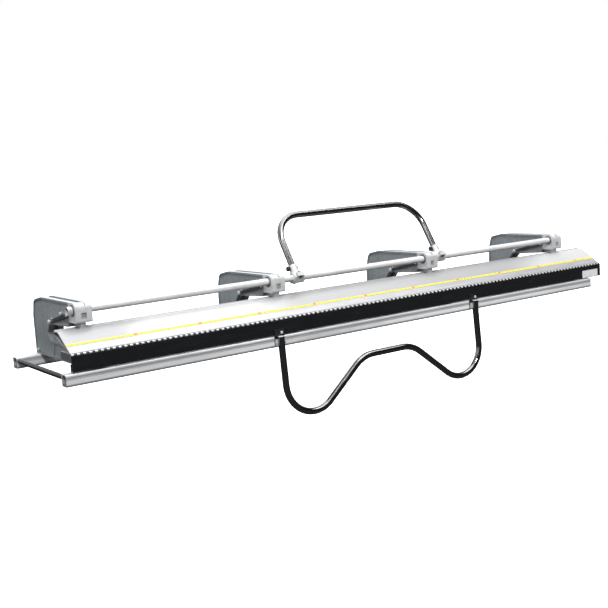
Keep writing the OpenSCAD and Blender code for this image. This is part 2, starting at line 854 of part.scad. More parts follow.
module rod_collar() {
    color("gainsboro") difference() {
        bar(frame_x(0) - frame_width / 2 - collar_length, rod_y, rod_z,
            collar_length - bush_flange - piece_gap, collar_radius);
        bar(frame_x(0) - frame_width / 2 - collar_length - over, rod_y, rod_z, collar_length + over,
            rod_radius);
    }
}

module eccentrics() {
    color("silver") for (i = [0:3])
        difference() {
            bar(frame_x(i) - link_width / 2, cam_y, cam_z, link_width, eccentric_radius);
            bar(frame_x(i) - link_width / 2 - over, rod_y, rod_z, link_width + 2 * over, rod_radius);
        }
}

// lock handle with its clamps, drawn in the plane of its lean
module lean() {
    translate([0, rod_y, rod_z]) rotate([lock_lean, 0, 0]) children();
}

function leg_x(side) = side < 0 ? lock_left : lock_right;

module lock_handle() {
    color("dimgray") difference() {
        lean() tube(lock_points, tube_radius);
        for (side = [-1, 1]) lean() cross_pin(side);
    }
}

module cross_pin(side) {
    bar(leg_x(side) - socket_radius, socket_length - cross_pin_inset, 0, 2 * socket_radius,
        cross_pin_radius);
}

module clamp_ring(side) {
    bar(leg_x(side) - clamp_width / 2, 0, 0, clamp_width, clamp_radius);
    block(leg_x(side) - lug_width / 2, -lug_thickness, -clamp_radius - lug_reach, lug_width,
        2 * lug_thickness, 2 * clamp_radius + 2 * lug_reach);
}

module clamp_cuts(side) {
    bar(leg_x(side) - clamp_width / 2 - over, 0, 0, clamp_width + 2 * over, rod_radius);
    for (s = [-1, 1])
        translate([leg_x(side), -lug_thickness - over, s * (clamp_radius + lug_reach / 2)])
            rotate([-90, 0, 0]) cylinder(h = 2 * lug_thickness + 2 * over, r = clamp_bolt_radius);
}

module clamp_body(side) {
    color("gainsboro") lean() difference() {
        union() {
            intersection() {
                clamp_ring(side);
                block(leg_x(side) - clamp_width, 0, -2 * clamp_radius, 2 * clamp_width, socket_length,
                    4 * clamp_radius);
            }
            translate([leg_x(side), 0, 0]) rotate([-90, 0, 0])
                cylinder(h = socket_length, r = socket_radius);
        }
        clamp_cuts(side);
        translate([leg_x(side), socket_floor, 0]) rotate([-90, 0, 0])
            cylinder(h = socket_length, r = tube_radius);
        cross_pin(side);
    }
}

module clamp_left() {
    clamp_body(-1);
}

module clamp_right() {
    clamp_body(1);
}

module clamp_caps() {
    color("gainsboro") for (side = [-1, 1])
        lean() difference() {
            intersection() {
                clamp_ring(side);
                block(leg_x(side) - clamp_width, -socket_length, -2 * clamp_radius, 2 * clamp_width,
                    socket_length, 4 * clamp_radius);
            }
            clamp_cuts(side);
        }
}

module clamp_bolts() {
    color("dimgray") for (side = [-1, 1])
        lean() for (s = [-1, 1])
            translate([leg_x(side), 0, s * (clamp_radius + lug_reach / 2)]) rotate([-90, 0, 0]) {
                translate([0, 0, -lug_thickness])
                    cylinder(h = 2 * lug_thickness, r = clamp_bolt_radius);
                for (t = [-lug_thickness - clamp_bolt_cap, lug_thickness])
                    translate([0, 0, t]) cylinder(h = clamp_bolt_cap, r = clamp_bolt_head);
            }
}

module clamp_knobs() {
    color("dimgray") for (side = [-1, 1])
        lean() {
            cross_pin(side);
            bar(leg_x(side) - socket_radius - knob_length, socket_length - cross_pin_inset, 0,
                knob_length, knob_diameter / 2);
            bar(leg_x(side) + socket_radius, socket_length - cross_pin_inset, 0, cross_pin_cap,
                cross_pin_head);
        }
}

// anvil with its nose strip, tape and screws
module on_slope() {
    translate([edge_y, slope_z]) rotate(slope) children();
}

module anvil_section() {
    rounded(anvil_outline);
    translate([bead_y, bead_z]) circle(r = bead_radius);
}

module strip_zone() {
    on_slope() translate([-strip_length, -strip_thickness])
        square([2 * strip_length, strip_thickness + over]);
}

module deck_screw(i, extra) {
    x = frame_x(i) + deck_screw_shift;
    post(x, deck_y + deck_screw_run, deck_z - deck_screw_rise, 2 * deck_screw_rise + extra,
        deck_screw_head);
    post(x, deck_y + deck_screw_run, deck_z - deck_screw_length, deck_screw_length, deck_screw_radius);
}

module anvil() {
    color("lightgray") difference() {
        along(-brake_length / 2, brake_length) difference() {
            anvil_section();
            strip_zone();
            intersection() {
                rounded(inset(cell_outline, anvil_wall));
                translate([edge_y + cell_start, 0]) square([anvil_depth, frame_top]);
            }
        }
        for (i = [0:3]) deck_screw(i, over);
    }
}

module nose_strip() {
    color("white") along(-brake_length / 2, brake_length) intersection() {
        rounded(anvil_outline);
        strip_zone();
    }
}

module measuring_tape() {
    color("gold") along(-brake_length / 2 + tape_gap, brake_length - 2 * tape_gap)
        on_slope() translate([strip_length + tape_gap, 0]) square([tape_width, tape_thickness]);
}

module anvil_screws() {
    color("silver") for (i = [0:3]) deck_screw(i, 0);
}

// jaw arms, yokes and their screws
module yoke_screw(i) {
    post(frame_x(i), arm_front + yoke_screw_inset, arm_low + arm_high - yoke_screw_depth,
        yoke_screw_depth + yoke_heel_high, yoke_screw_radius);
}

module jaw_arm(i) {
    color("silver") difference() {
        along(frame_x(i) - link_width / 2, link_width) difference() {
            union() {
                translate([pivot_y, pivot_z]) circle(r = eye_diameter / 2);
                polygon([
                    [arm_front, arm_low],
                    [pivot_y, pivot_z - eye_diameter / 2],
                    [pivot_y, pivot_z + eye_diameter / 2],
                    [arm_front + yoke_heel, arm_low + arm_high],
                    [arm_front, arm_low + arm_high]
                ]);
            }
            translate([pivot_y, pivot_z]) circle(r = pivot_radius + run_gap);
        }
        yoke_screw(i);
    }
}

module jaw_arm_1() {
    jaw_arm(0);
}

module jaw_arm_2() {
    jaw_arm(1);
}

module jaw_arm_3() {
    jaw_arm(2);
}

module jaw_arm_4() {
    jaw_arm(3);
}

module yokes() {
    color("silver") for (i = [0:3])
        difference() {
            along(frame_x(i) - link_width / 2, link_width) difference() {
                union() {
                    translate([cam_y, cam_z]) circle(r = yoke_radius);
                    translate([arm_front - tongue_run, bead_z - toe_drop])
                        square([tongue_run, tongue_high]);
                    translate([arm_front, arm_low + arm_high]) square([yoke_heel, yoke_heel_high]);
                }
                for (s = [-cam_slide, cam_slide])
                    translate([cam_y - cam_slide_set + s, cam_z]) circle(r = eccentric_radius + cam_slack);
                translate([cam_y - cam_slide_set - cam_slide, cam_z - eccentric_radius - cam_slack])
                    square([2 * cam_slide, 2 * eccentric_radius + 2 * cam_slack]);
                anvil_section();
            }
            yoke_screw(i);
        }
}

module yoke_screws() {
    color("dimgray") for (i = [0:3]) {
        yoke_screw(i);
        post(frame_x(i), arm_front + yoke_screw_inset, arm_low + arm_high + yoke_heel_high,
            yoke_screw_cap, yoke_screw_head);
    }
}

// apron with its hinge leaf and blank label
module apron() {
    color("black") difference() {
        along(-brake_length / 2, brake_length) rounded([
            [face_y, face_bottom, face_round],
            [face_y + apron_foot, face_bottom, face_round / 2],
            [face_y + apron_foot, face_bottom + apron_foot_height, face_round],
            [face_y + apron_thickness, face_bottom + apron_foot_height + apron_rise, face_round],
            [face_y + apron_thickness, hinge_z - hinge_reach, 0],
            [hinge_y - hinge_reach, hinge_z - hinge_reach, 0],
            [hinge_y - hinge_reach, face_top, 0],
            [face_y, face_top, (face_forward - hinge_reach) / 2]
        ]);
        for (side = [-1, 1]) bend_bolt(side, 0);
    }
}

module hinge_leaf() {
    color("dimgray") difference() {
        along(-brake_length / 2, brake_length) difference() {
            union() {
                translate([face_y + apron_thickness, hinge_z - leaf_height])
                    square([leaf_thickness, leaf_height]);
                translate([hinge_y, hinge_z - hinge_reach])
                    square([face_y + apron_thickness + leaf_thickness - hinge_y, hinge_reach]);
                translate([hinge_y, hinge_z]) circle(r = barrel_radius);
            }
            translate([hinge_y, hinge_z]) circle(r = pin_radius + run_gap);
        }
        knuckles(0)
            block(0, hinge_y - hinge_reach, hinge_z - hinge_reach, knuckle_pitch / 2 + knuckle_gap,
                2 * hinge_reach, 2 * hinge_reach);
    }
}

module face_label() {
    color("white")
        block(brake_length / 2 - label_inset - label_length, face_y - label_thickness,
            face_bottom + label_low, label_length, label_thickness, label_height);
}

// bending handle
function bend_leg(side) = side * bend_half - bend_shift;

module bend_bolt(side, from) {
    stud(bend_leg(side) + bend_bolt_side, face_y + bend_bolt_depth, bend_bolt_high,
        bend_bolt_depth + strap_thickness + from, bend_bolt_radius);
}

function clip_screw_run() = (strap_width / 2 + tube_radius) / 2;

module clip_screws(side, from) {
    for (s = [-1, 1])
        stud(bend_leg(side) + s * clip_screw_run(), face_y - strap_thickness + clip_screw_depth,
            strap_low + clip_high / 2, clip_screw_depth + clip_thickness + from, clip_screw_radius);
}

module bending_handle() {
    color("dimgray") translate([0, bend_y, 0]) rotate([90, 0, 0]) sweep(bend_points, tube_radius);
}

module handle_straps() {
    color("dimgray") for (side = [-1, 1])
        difference() {
            block(bend_leg(side) - strap_width / 2, face_y - strap_thickness, strap_low, strap_width,
                strap_thickness, strap_high - strap_low);
            block(bend_leg(side) - strap_width, face_y - strap_relief, strap_low - over,
                2 * strap_width, strap_relief + over, face_bottom - strap_low + over);
            post(bend_leg(side), bend_y, strap_low - over, bend_top - strap_low + over, tube_radius);
            bend_bolt(side, over);
            clip_screws(side, over);
        }
}

module handle_clips() {
    color("gainsboro") for (side = [-1, 1])
        difference() {
            block(bend_leg(side) - strap_width / 2, face_y - strap_thickness - clip_thickness,
                strap_low, strap_width, clip_thickness, clip_high);
            post(bend_leg(side), bend_y, strap_low - over, clip_high + 2 * over, tube_radius);
            clip_screws(side, over);
        }
}

module handle_bolts() {
    color("white") for (side = [-1, 1]) {
        bend_bolt(side, 0);
        stud(bend_leg(side) + bend_bolt_side, face_y - strap_thickness, bend_bolt_high, bend_bolt_cap,
            bend_bolt_head);
        clip_screws(side, 0);
        for (s = [-1, 1])
            stud(bend_leg(side) + s * clip_screw_run(), face_y - strap_thickness - clip_thickness,
                strap_low + clip_high / 2, clip_screw_cap, clip_screw_head);
    }
}

front_rail();
rear_rail();
crossbar_left();
crossbar_right();
c_frame_1();
c_frame_2();
c_frame_3();
c_frame_4();
rail_bolts();
foot_bolts();
rod_bushes();
pivot_bolts();
brace_straps();
brace_bolts();
fixed_jaw();
jaw_screws();
wear_strip();
hinge_rod();
lock_rod();
rod_collar();
eccentrics();
lock_handle();
clamp_left();
clamp_right();
clamp_caps();
clamp_bolts();
clamp_knobs();
anvil();
nose_strip();
measuring_tape();
anvil_screws();
jaw_arm_1();
jaw_arm_2();
jaw_arm_3();
jaw_arm_4();
yokes();
yoke_screws();
apron();
hinge_leaf();
face_label();
bending_handle();
handle_straps();
handle_clips();
handle_bolts();
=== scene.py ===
import json
import math

import bpy
import bmesh
import numpy as np
from bpy.props import FloatProperty, FloatVectorProperty, PointerProperty
from mathutils import Matrix, Vector


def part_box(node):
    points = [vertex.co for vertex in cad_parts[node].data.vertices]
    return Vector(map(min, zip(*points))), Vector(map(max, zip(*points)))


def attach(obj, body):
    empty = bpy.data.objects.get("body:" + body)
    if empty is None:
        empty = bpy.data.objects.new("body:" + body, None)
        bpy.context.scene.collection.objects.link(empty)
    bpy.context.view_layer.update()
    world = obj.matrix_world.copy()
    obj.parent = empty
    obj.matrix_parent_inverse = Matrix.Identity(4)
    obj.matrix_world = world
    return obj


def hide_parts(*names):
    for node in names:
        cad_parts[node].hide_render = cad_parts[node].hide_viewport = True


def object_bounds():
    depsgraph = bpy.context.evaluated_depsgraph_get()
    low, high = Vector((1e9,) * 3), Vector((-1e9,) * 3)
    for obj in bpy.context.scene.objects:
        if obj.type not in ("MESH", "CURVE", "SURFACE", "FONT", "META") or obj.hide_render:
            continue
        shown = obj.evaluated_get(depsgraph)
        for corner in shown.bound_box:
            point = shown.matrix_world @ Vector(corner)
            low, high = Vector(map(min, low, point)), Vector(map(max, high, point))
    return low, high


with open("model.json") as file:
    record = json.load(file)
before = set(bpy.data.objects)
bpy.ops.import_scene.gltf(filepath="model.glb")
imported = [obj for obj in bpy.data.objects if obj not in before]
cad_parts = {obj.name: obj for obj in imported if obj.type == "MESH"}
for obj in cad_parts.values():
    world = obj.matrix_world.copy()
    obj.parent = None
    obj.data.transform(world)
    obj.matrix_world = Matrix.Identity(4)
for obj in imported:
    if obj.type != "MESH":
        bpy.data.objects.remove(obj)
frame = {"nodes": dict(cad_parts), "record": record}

bl_info = {
    "name": "Sheet metal bending brake",
    "version": (1, 0, 0),
    "blender": (4, 5, 0),
    "location": "View3D > Sidebar > Brake",
    "description": "Dresses the packed bending brake: castings, bent tubes, bolts, tape and finishes",
    "category": "Object",
}

NODES = frame["nodes"]
SLOTS = {part["node"]: part["material_slot"] for part in frame["record"]["subparts"]}
CAD_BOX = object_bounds()


def middle_x(node):
    return (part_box(node)[0].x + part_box(node)[1].x) / 2


# Places read from the CAD, in metres
FRAME_X = [middle_x("c_frame_%d" % i) for i in (1, 2, 3, 4)]
PITCH = FRAME_X[1] - FRAME_X[0]
CHEEK = (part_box("c_frame_1")[1].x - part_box("c_frame_1")[0].x) / 2
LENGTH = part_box("apron")[1].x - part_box("apron")[0].x
REAR_Y = (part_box("rear_rail")[0].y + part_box("rear_rail")[1].y) / 2
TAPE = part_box("measuring_tape")

INCH = 0.0254
TAPE_THICK = 0.0006
MERGE = 2e-6  # points of a CAD node nearer than this are one point
TOP_HIGHLIGHT_HEIGHT = 0.0505  # above this height the bending handle's tube tops are pale, a painted highlight
# A printed digit, and the height of its foot above the tape's lower edge
NUMBER = {"wide": 0.0019, "tall": 0.0021, "line": 0.0005, "foot": 0.0066}
HEX_SIDES = 30  # points round a bolt

# The stage: how far the floor lies below the part, and the fitted camera
FLOOR_DROP = 0.6
FLOOR_HALF = 60
CAMERA_AT = (-3.01829, -3.70934, 0.81334)
CAMERA_TURN = (0.60384, 0.14165, -0.06853)  # azimuth, depression and roll in radians
FOCAL_PIXELS, IMAGE_PIXELS, SENSOR = 992.634, 608, 36.0


def size(name, text, default, low=0.0, high=10.0):
    return FloatProperty(
        name=name, description=text, default=default, min=low, max=high, unit="LENGTH", precision=4)


def lean(name, text, degrees):
    return FloatProperty(name=name, description=text, default=math.radians(degrees), subtype="ANGLE")


def paint(name, text, default):
    return FloatVectorProperty(
        name=name, description=text, default=default, size=3, min=0, max=1, subtype="COLOR")


class BrakeSizes(bpy.types.PropertyGroup):
    """Sizes of the pieces that are drawn anew, in metres"""
    tube_radius: size("Tube radius", "Radius of the handle tubes", 0.016)
    bend_plateau: size("Plateau half width", "Half of the bending handle's middle plateau", 0.1535)
    bend_drop: size("Plateau drop", "Plateau below the rails' underside", 0.111)
    bend_deep: size("Bow depth", "Corner points of the bows below the rails' underside", 0.4728)
    bend_outer: size("Outer bend", "Radius of the handle's outer bends", 0.144)
    bend_inner: size("Inner bend", "Radius of the handle's inner bends", 0.170)
    bend_top: size("Leg top", "Top of the legs", 0.052)
    kick: lean("Kick", "Forward lean of the bending handle below the straps", 4)
    kick_start: size("Kick start", "Height where the forward lean begins", 0.009)
    kick_run: size("Kick run", "Height over which it grows", 0.030)
    lock_reach: size("Lock handle reach", "Its bar above the rod", 0.332)
    lock_bend: size("Lock handle bend", "Radius of its corners", 0.140)
    lock_foot: size("Socket floor", "Lower end of its legs above the rod", 0.034)
    lock_lean: lean("Lean", "Lean of the lock handle", 58.5)
    casting_edge: size("Casting edge", "Rounding of cast edges", 0.0024, 0.0, 0.003)
    machined_edge: size("Machined edge", "Rounding of machined edges", 0.0006, 0.0, 0.002)
    small_edge: size("Hardware edge", "Rounding of screws and thin strips", 0.0003, 0.0, 0.002)
    skin: size("Skin", "Drawn tubes stay this far inside their solids", 0.0002, 0.0, 0.001)
    tape_lift: size("Print lift", "Numbers above the tape", 0.00006, 0.0, 0.001)


class BrakeColours(bpy.types.PropertyGroup):
    """Colours of the finishes"""
    casting: paint("Casting", "C-frames", (0.30, 0.325, 0.34))
    bright: paint("Bright casting", "Noses, clamps and collar", (0.66, 0.67, 0.68))
    rail: paint("Rail", "Extruded rails", (0.80, 0.81, 0.82))
    anvil: paint("Anvil", "Sloping face of the anvil", (0.42, 0.418, 0.42))
    black: paint("Black enamel", "Tubes and apron", (0.0022, 0.0024, 0.0028))
    tape: paint("Tape", "Measuring tape", (0.78, 0.66, 0.04))
    mark: paint("Tape mark", "Foot marks on the tape", (0.80, 0.13, 0.03))
    floor: paint("Floor", "Floor", (0.95, 0.95, 0.95))


class Sock:
    """An output socket with Python's operators: each one adds the Math node of that name."""

    def __init__(self, finish, socket):
        self.finish, self.socket = finish, socket

    def _math(self, operation, *values):
        return self.finish.node("ShaderNodeMath", {"operation": operation}, dict(enumerate(values)))

    def __add__(self, other):
        return self._math("ADD", self, other)

    def __sub__(self, other):
        return self._math("SUBTRACT", self, other)

    def __rsub__(self, other):
        return self._math("SUBTRACT", other, self)

    def __mul__(self, other):
        return self._math("MULTIPLY", self, other)

    def __truediv__(self, other):
        return self._math("DIVIDE", self, other)

    def __gt__(self, other):
        return self._math("GREATER_THAN", self, other)

    def __lt__(self, other):
        return self._math("LESS_THAN", self, other)

    def __abs__(self):
        return self._math("ABSOLUTE", self)

    __radd__, __rmul__ = __add__, __mul__

    def fract(self):
        return self._math("FRACT", self)

    def ramp(self, low, high, out_low=0.0, out_high=1.0):
        """Smooth step from out_low at low to out_high at high."""
        values = {0: self, 1: low, 2: high, 3: out_low, 4: out_high}
        return self.finish.node("ShaderNodeMapRange", {"interpolation_type": "SMOOTHSTEP"}, values)


class Nodes:
    """A node tree that adds any node by its type, its settings and the values or links of its sockets."""

    def __init__(self, tree):
        self.tree, self.place = tree, None

    def node(self, kind, settings, values, out=0):
        made = self.tree.nodes.new(kind)
        for key, value in settings.items():
            setattr(made, key, value)
        for key, value in values.items():
            socket = made.inputs[key]
            if isinstance(value, Sock):
                self.tree.links.new(value.socket, socket)
            else:
                socket.default_value = value
        return Sock(self, made.outputs[out])

    def parts(self, vector):
        split = self.node("ShaderNodeSeparateXYZ", {}, {0: vector}).socket.node
        return [Sock(self, out) for out in split.outputs]

    def mix(self, factor, a, b):
        a = a if isinstance(a, Sock) else (*a, 1)
        b = b if isinstance(b, Sock) else (*b, 1)
        return self.node("ShaderNodeMix", {"data_type": "RGBA"}, {0: factor, 6: a, 7: b}, 2)


class Finish(Nodes):
    """A material: what is the same all over stands on the shader's own sockets."""

    def __init__(self, name, colour, rough, metal=0.0, **fixed):
        self.material = bpy.data.materials.new(name)
        self.material.use_nodes = True
        super().__init__(self.material.node_tree)
        self.shader = next(n for n in self.tree.nodes if n.type == "BSDF_PRINCIPLED")
        self.material.diffuse_color = (*colour, 1)
        self.put("Base Color", (*colour, 1))
        self.put("Roughness", rough)
        self.put("Metallic", metal)
        for key, value in fixed.items():
            self.put(key.replace("_", " "), value)

    def put(self, name, value):
        socket = self.shader.inputs[name]
        if isinstance(value, Sock):
            self.tree.links.new(value.socket, socket)
        else:
            socket.default_value = value

    def point(self):
        if self.place is None:
            self.place = self.node("ShaderNodeTexCoord", {}, {}, "Object")
        return self.place

    def axes(self):
        return self.parts(self.point())

    def normal_part(self, axis):
        """One part of the surface's own normal."""
        return self.parts(self.node("ShaderNodeNewGeometry", {}, {}, "Normal"))[axis]

    def noise(self, scale, detail=3.0, rough=0.55):
        """Fractal noise with its own scale along each axis."""
        point = self.node("ShaderNodeVectorMath", {"operation": "MULTIPLY"}, {0: self.point(), 1: scale})
        values = {"Vector": point, "Scale": 1.0, "Detail": detail, "Roughness": rough}
        return self.node("ShaderNodeTexNoise", {}, values)

    def bump(self, height, depth, strength=1.0):
        values = {"Height": height, "Distance": depth, "Strength": strength}
        self.put("Normal", self.node("ShaderNodeBump", {}, values))


# In the finishes a ramp of x, y or z runs between places of the part in metres, and a ramp of a noise
# between two of its values. A noise's scale is in waves a metre, and a bump's depth in metres.


def rgb(colour):
    return tuple(colour)


def times(colour, factor):
    """A colour made darker or lighter, kept at 1 or below."""
    return tuple(min(c * factor, 1) for c in colour)


def local_x(finish):
    """Distance along X from the nearest C-frame's middle: x less the whole number of pitches."""
    x = finish.axes()[0]
    return (((x - FRAME_X[0] + PITCH / 2) / PITCH).fract() - 0.5) * PITCH


def casting_finish(colours):
    """Grey casting with painted shade towards the foot, along the rear edge, on the rear part of the outer
    faces and in the hollow between the walls, a painted highlight on up-facing faces of the walls, and a
    bright nose.
    """
    dark = colours.casting
    f = Finish("frame_casting", rgb(dark), 0.5, 0.1, Specular_IOR_Level=0.35)
    across = abs(local_x(f))
    x, y, z = f.axes()
    grain = f.noise((60, 60, 60), 4)
    sand = f.noise((900, 900, 900), 2)
    streak = f.noise((26, 40, 4), 3)
    # painted shade: foot darkens the frame towards its foot, back darkens it along its rear edge
    foot, back = z.ramp(0.215, 0.12), y.ramp(0.560, 0.588)
    # painted highlight on the up-facing faces of the walls, where light from above falls
    ridge_highlight = f.normal_part(2).ramp(0.55, 0.8) * (across > 0.0125) * z.ramp(0.2, 0.23)
    # painted shade on the rear part of the outer faces
    rear_rim_shade = (across > CHEEK - 0.0025) * y.ramp(0.44, 0.5)
    # painted shade in the hollow between the two walls
    valley_shade = across < 0.0118
    nose = y.ramp(0.166, 0.160) * z.ramp(0.222, 0.228)
    grey = f.mix(grain.ramp(0.3, 0.75), times(dark, 0.88), times(dark, 1.12))
    grey = f.mix(streak.ramp(0.45, 0.7) * 0.35, grey, times(dark, 0.66))
    # painted shade towards the foot and along the rear edge
    grey = f.mix(foot * 0.35, grey, times(dark, 0.5))
    grey = f.mix(back * 0.4, grey, times(dark, 0.45))
    # painted highlight on the up-facing faces; painted shade on the rear part of the outer faces
    body = f.mix(ridge_highlight, f.mix(rear_rim_shade * 0.5, grey, times(dark, 0.4)), times(colours.bright, 0.88))
    # painted shade in the hollow between the two walls
    body = f.mix(valley_shade * 0.7, body, times(dark, 0.38))
    bright = f.mix(grain.ramp(0.3, 0.7), times(colours.bright, 0.88), times(colours.bright, 1.06))
    f.put("Base Color", f.mix(nose, body, bright))
    f.put("Roughness", sand.ramp(0.2, 0.8, 0.38, 0.6))
    f.bump(sand, 0.0005, 0.5)
    return f


def bright_finish(colours):
    """Pale casting with soft clouds and a sandy skin."""
    f = Finish("bright_casting", rgb(colours.bright), 0.38, 0.25)
    sand = f.noise((700, 700, 700), 2)
    cloud = f.noise((30, 30, 30), 3)
    f.put("Base Color", f.mix(cloud.ramp(0.3, 0.7), times(colours.bright, 0.82), times(colours.bright, 1.06)))
    f.put("Roughness", sand.ramp(0.2, 0.8, 0.28, 0.5))
    f.bump(sand, 0.0003, 0.5)
    return f


def rail_finish(colours):
    """Extruded aluminium: fine streaks along X, with painted shade in the recessed band of the face, along
    the lower edge and inside the hollow.
    """
    f = Finish("rail_extrusion", rgb(colours.rail), 0.34, 0.15)
    x, y, z = f.axes()
    streak = f.noise((1.5, 500, 500), 3)
    cloud = f.noise((3, 20, 20), 3)
    # painted shade in the recessed band of the front face
    groove_shade = z.ramp(0.0255, 0.0262) * z.ramp(0.0385, 0.0378)
    # painted shade along the lower edge
    foot = z.ramp(0.0125, 0.0055)
    half = REAR_Y / 2  # both rails lie this far from the middle between them
    off = abs(y - half)
    # painted shade inside the hollow rails
    inner = off.ramp(half + 0.0215, half + 0.0205) * off.ramp(half - 0.0215, half - 0.0205)
    inner = inner * z.ramp(0.0035, 0.0045) * z.ramp(0.0465, 0.0455)
    base = f.mix(cloud.ramp(0.3, 0.7), times(colours.rail, 0.88), times(colours.rail, 1.2))
    base = f.mix(streak.ramp(0.35, 0.75) * 0.35, base, times(colours.rail, 0.62))
    # painted shade in the recessed band of the front face
    base = f.mix(groove_shade * 0.6, base, times(colours.rail, 0.45))
    # painted shade inside the hollow rails
    base = f.mix(inner, base, times(colours.rail, 0.12))
    # painted shade along the lower edge
    f.put("Base Color", f.mix(foot * 0.9, base, times(colours.rail, 0.22)))
    f.put("Roughness", streak.ramp(0.3, 0.7, 0.26, 0.46))
    f.bump(streak, 0.0002, 0.4)
    return f


def anvil_finish(colours):
    """Pale extruded face with soft white patches along its length and fine streaks."""
    f = Finish("anvil_extrusion", rgb(colours.anvil), 0.36, 0.25)
    x, y, z = f.axes()
    streak = f.noise((2, 600, 600), 3)
    scuff = f.noise((90, 260, 260), 5, 0.7)
    left, right = x.ramp(-1.45, -1.15) * x.ramp(-0.25, -0.75), x.ramp(0.8, 1.4)
    patch = f.noise((1.1, 3.0, 3.0), 2, 0.4) * 0.6 + left * 0.3 + right * 0.3 + 0.1
    rear = y.ramp(0.128, 0.133)
    base = f.mix(patch.ramp(0.42, 0.66), times(colours.anvil, 0.98), (0.62, 0.62, 0.62))
    base = f.mix(rear * 0.8, base, times(colours.anvil, 0.75))
    base = f.mix(streak.ramp(0.4, 0.8) * 0.22, base, times(colours.anvil, 0.7))
    f.put("Base Color", f.mix(scuff.ramp(0.68, 0.75) * 0.3, base, times(colours.anvil, 0.6)))
    f.put("Roughness", streak.ramp(0.3, 0.7, 0.28, 0.45))
    f.bump(streak, 0.00015, 0.4)
    return f


def steel_finish(name, colour, rough, turned=False, end=None, metal=0.6):
    """Bright steel with scratches, along the brake on strips and finer round it on turned pieces.
    Turned pieces get painted shade on their undersides; the end faces may take a colour of their own, which
    on the rod and the jaw is painted shade."""
    f = Finish(name, colour, rough, metal)
    scratch = f.noise((9, 60, 60) if turned else (3, 700, 700), 2, 0.5)
    stain = f.noise((6, 25, 25), 4)
    base = f.mix(stain.ramp(0.35, 0.75), colour, times(colour, 0.86))
    # the end faces' own colour; on the rod and the jaw it is painted shade
    if end:
        base = f.mix(abs(f.normal_part(0)).ramp(0.7, 0.85), base, end)
    # painted shade on the underside of turned pieces
    if turned:
        base = f.mix(f.normal_part(2).ramp(-0.25, -0.75) * 0.7, base, times(colour, 0.15))
    f.put("Base Color", base)
    f.put("Roughness", scratch.ramp(0.25, 0.75, rough - 0.05, rough + 0.08))
    f.bump(scratch, 0.00005, 0.2)
    return f


def enamel_finish(name, colours, rough, bend, highlight_height=None, pale=1.0):
    """Gloss black enamel: orange-peel ripple, dust and light scuffs; pale grey above the given height, a
    painted highlight.
    The refractive index is bend, and pale multiplies the black."""
    f = Finish(name, rgb(colours.black), rough, 0.0, IOR=bend, Specular_IOR_Level=0.5, Coat_Roughness=0.05)
    peel = f.noise((260, 260, 260), 2)
    dust = f.noise((8, 40, 40), 5, 0.7)
    scuff = f.noise((45, 500, 500), 4, 0.75)
    base = f.mix(dust.ramp(0.45, 0.8), times(colours.black, pale), times(colours.black, pale + 2))
    base = f.mix(scuff.ramp(0.70, 0.76) * 0.5, base, (0.04, 0.04, 0.04))
    # painted highlight: pale grey above the given height
    if highlight_height:
        base = f.mix(f.axes()[2] > highlight_height, base, (0.8, 0.8, 0.8))
    f.put("Base Color", base)
    f.put("Roughness", dust.ramp(0.3, 0.8, rough - 0.05, rough + 0.12))
    f.put("Coat Weight", dust.ramp(0.35, 0.8, 0.4, 0.2))
    f.bump(peel, 0.0001, 0.15)
    return f


def dark_finish(name, colour, rough, metal):
    """Dark steel or plastic with clouds and a few pale worn specks."""
    f = Finish(name, colour, rough, metal)
    cloud = f.noise((60, 60, 60), 4)
    wear = f.noise((300, 300, 300), 3)
    base = f.mix(cloud.ramp(0.35, 0.7), colour, times(colour, 1.8))
    f.put("Base Color", f.mix(wear.ramp(0.68, 0.78) * 0.5, base, (0.28, 0.28, 0.28)))
    f.put("Roughness", cloud.ramp(0.3, 0.7, rough - 0.08, rough + 0.1))
    f.bump(wear, 0.0002, 0.3)
    return f


def tape_finish(colours):
    """Yellow tape: a tick every eighth, longer at half and whole inches, a red block at every foot."""
    f = Finish("printed_tape", rgb(colours.tape), 0.42, 0.0)
    x, y, z = f.axes()
    inch = (x + LENGTH / 2) / INCH
    low, high = TAPE[0].y, TAPE[1].y
    up = (y - low) / (high - low)
    whole = abs(inch.fract() - 0.5) > 0.475
    half = (abs((inch * 2).fract() - 0.5) > 0.46) * (up < 0.45)
    eighth = (abs((inch * 8).fract() - 0.5) > 0.38) * (up < 0.3)
    block = (abs((inch / 12).fract() - 0.5) > 0.47) * (up > 0.3) * (inch > 1)
    dirt = f.noise((30, 200, 200), 4)
    base = f.mix(dirt.ramp(0.45, 0.8) * 0.35, rgb(colours.tape), (0.90, 0.83, 0.30))
    base = f.mix(block * 0.9, base, rgb(colours.mark))
    lines = (eighth + whole * (up < 0.6) + half) > 0.5
    f.put("Base Color", f.mix(lines * 0.85, base, (0.03, 0.03, 0.03)))
    f.put("Roughness", dirt.ramp(0.3, 0.7, 0.32, 0.5))
    return f


def plain_finish(name, colour, other, rough):
    """Paper or ink: two near tones in clouds."""
    f = Finish(name, colour, rough, 0.0)
    cloud = f.noise((40, 40, 40), 4)
    f.put("Base Color", f.mix(cloud.ramp(0.4, 0.8), colour, other))
    f.put("Roughness", cloud.ramp(0.3, 0.7, rough - 0.07, rough + 0.1))
    return f


FINISH = {}


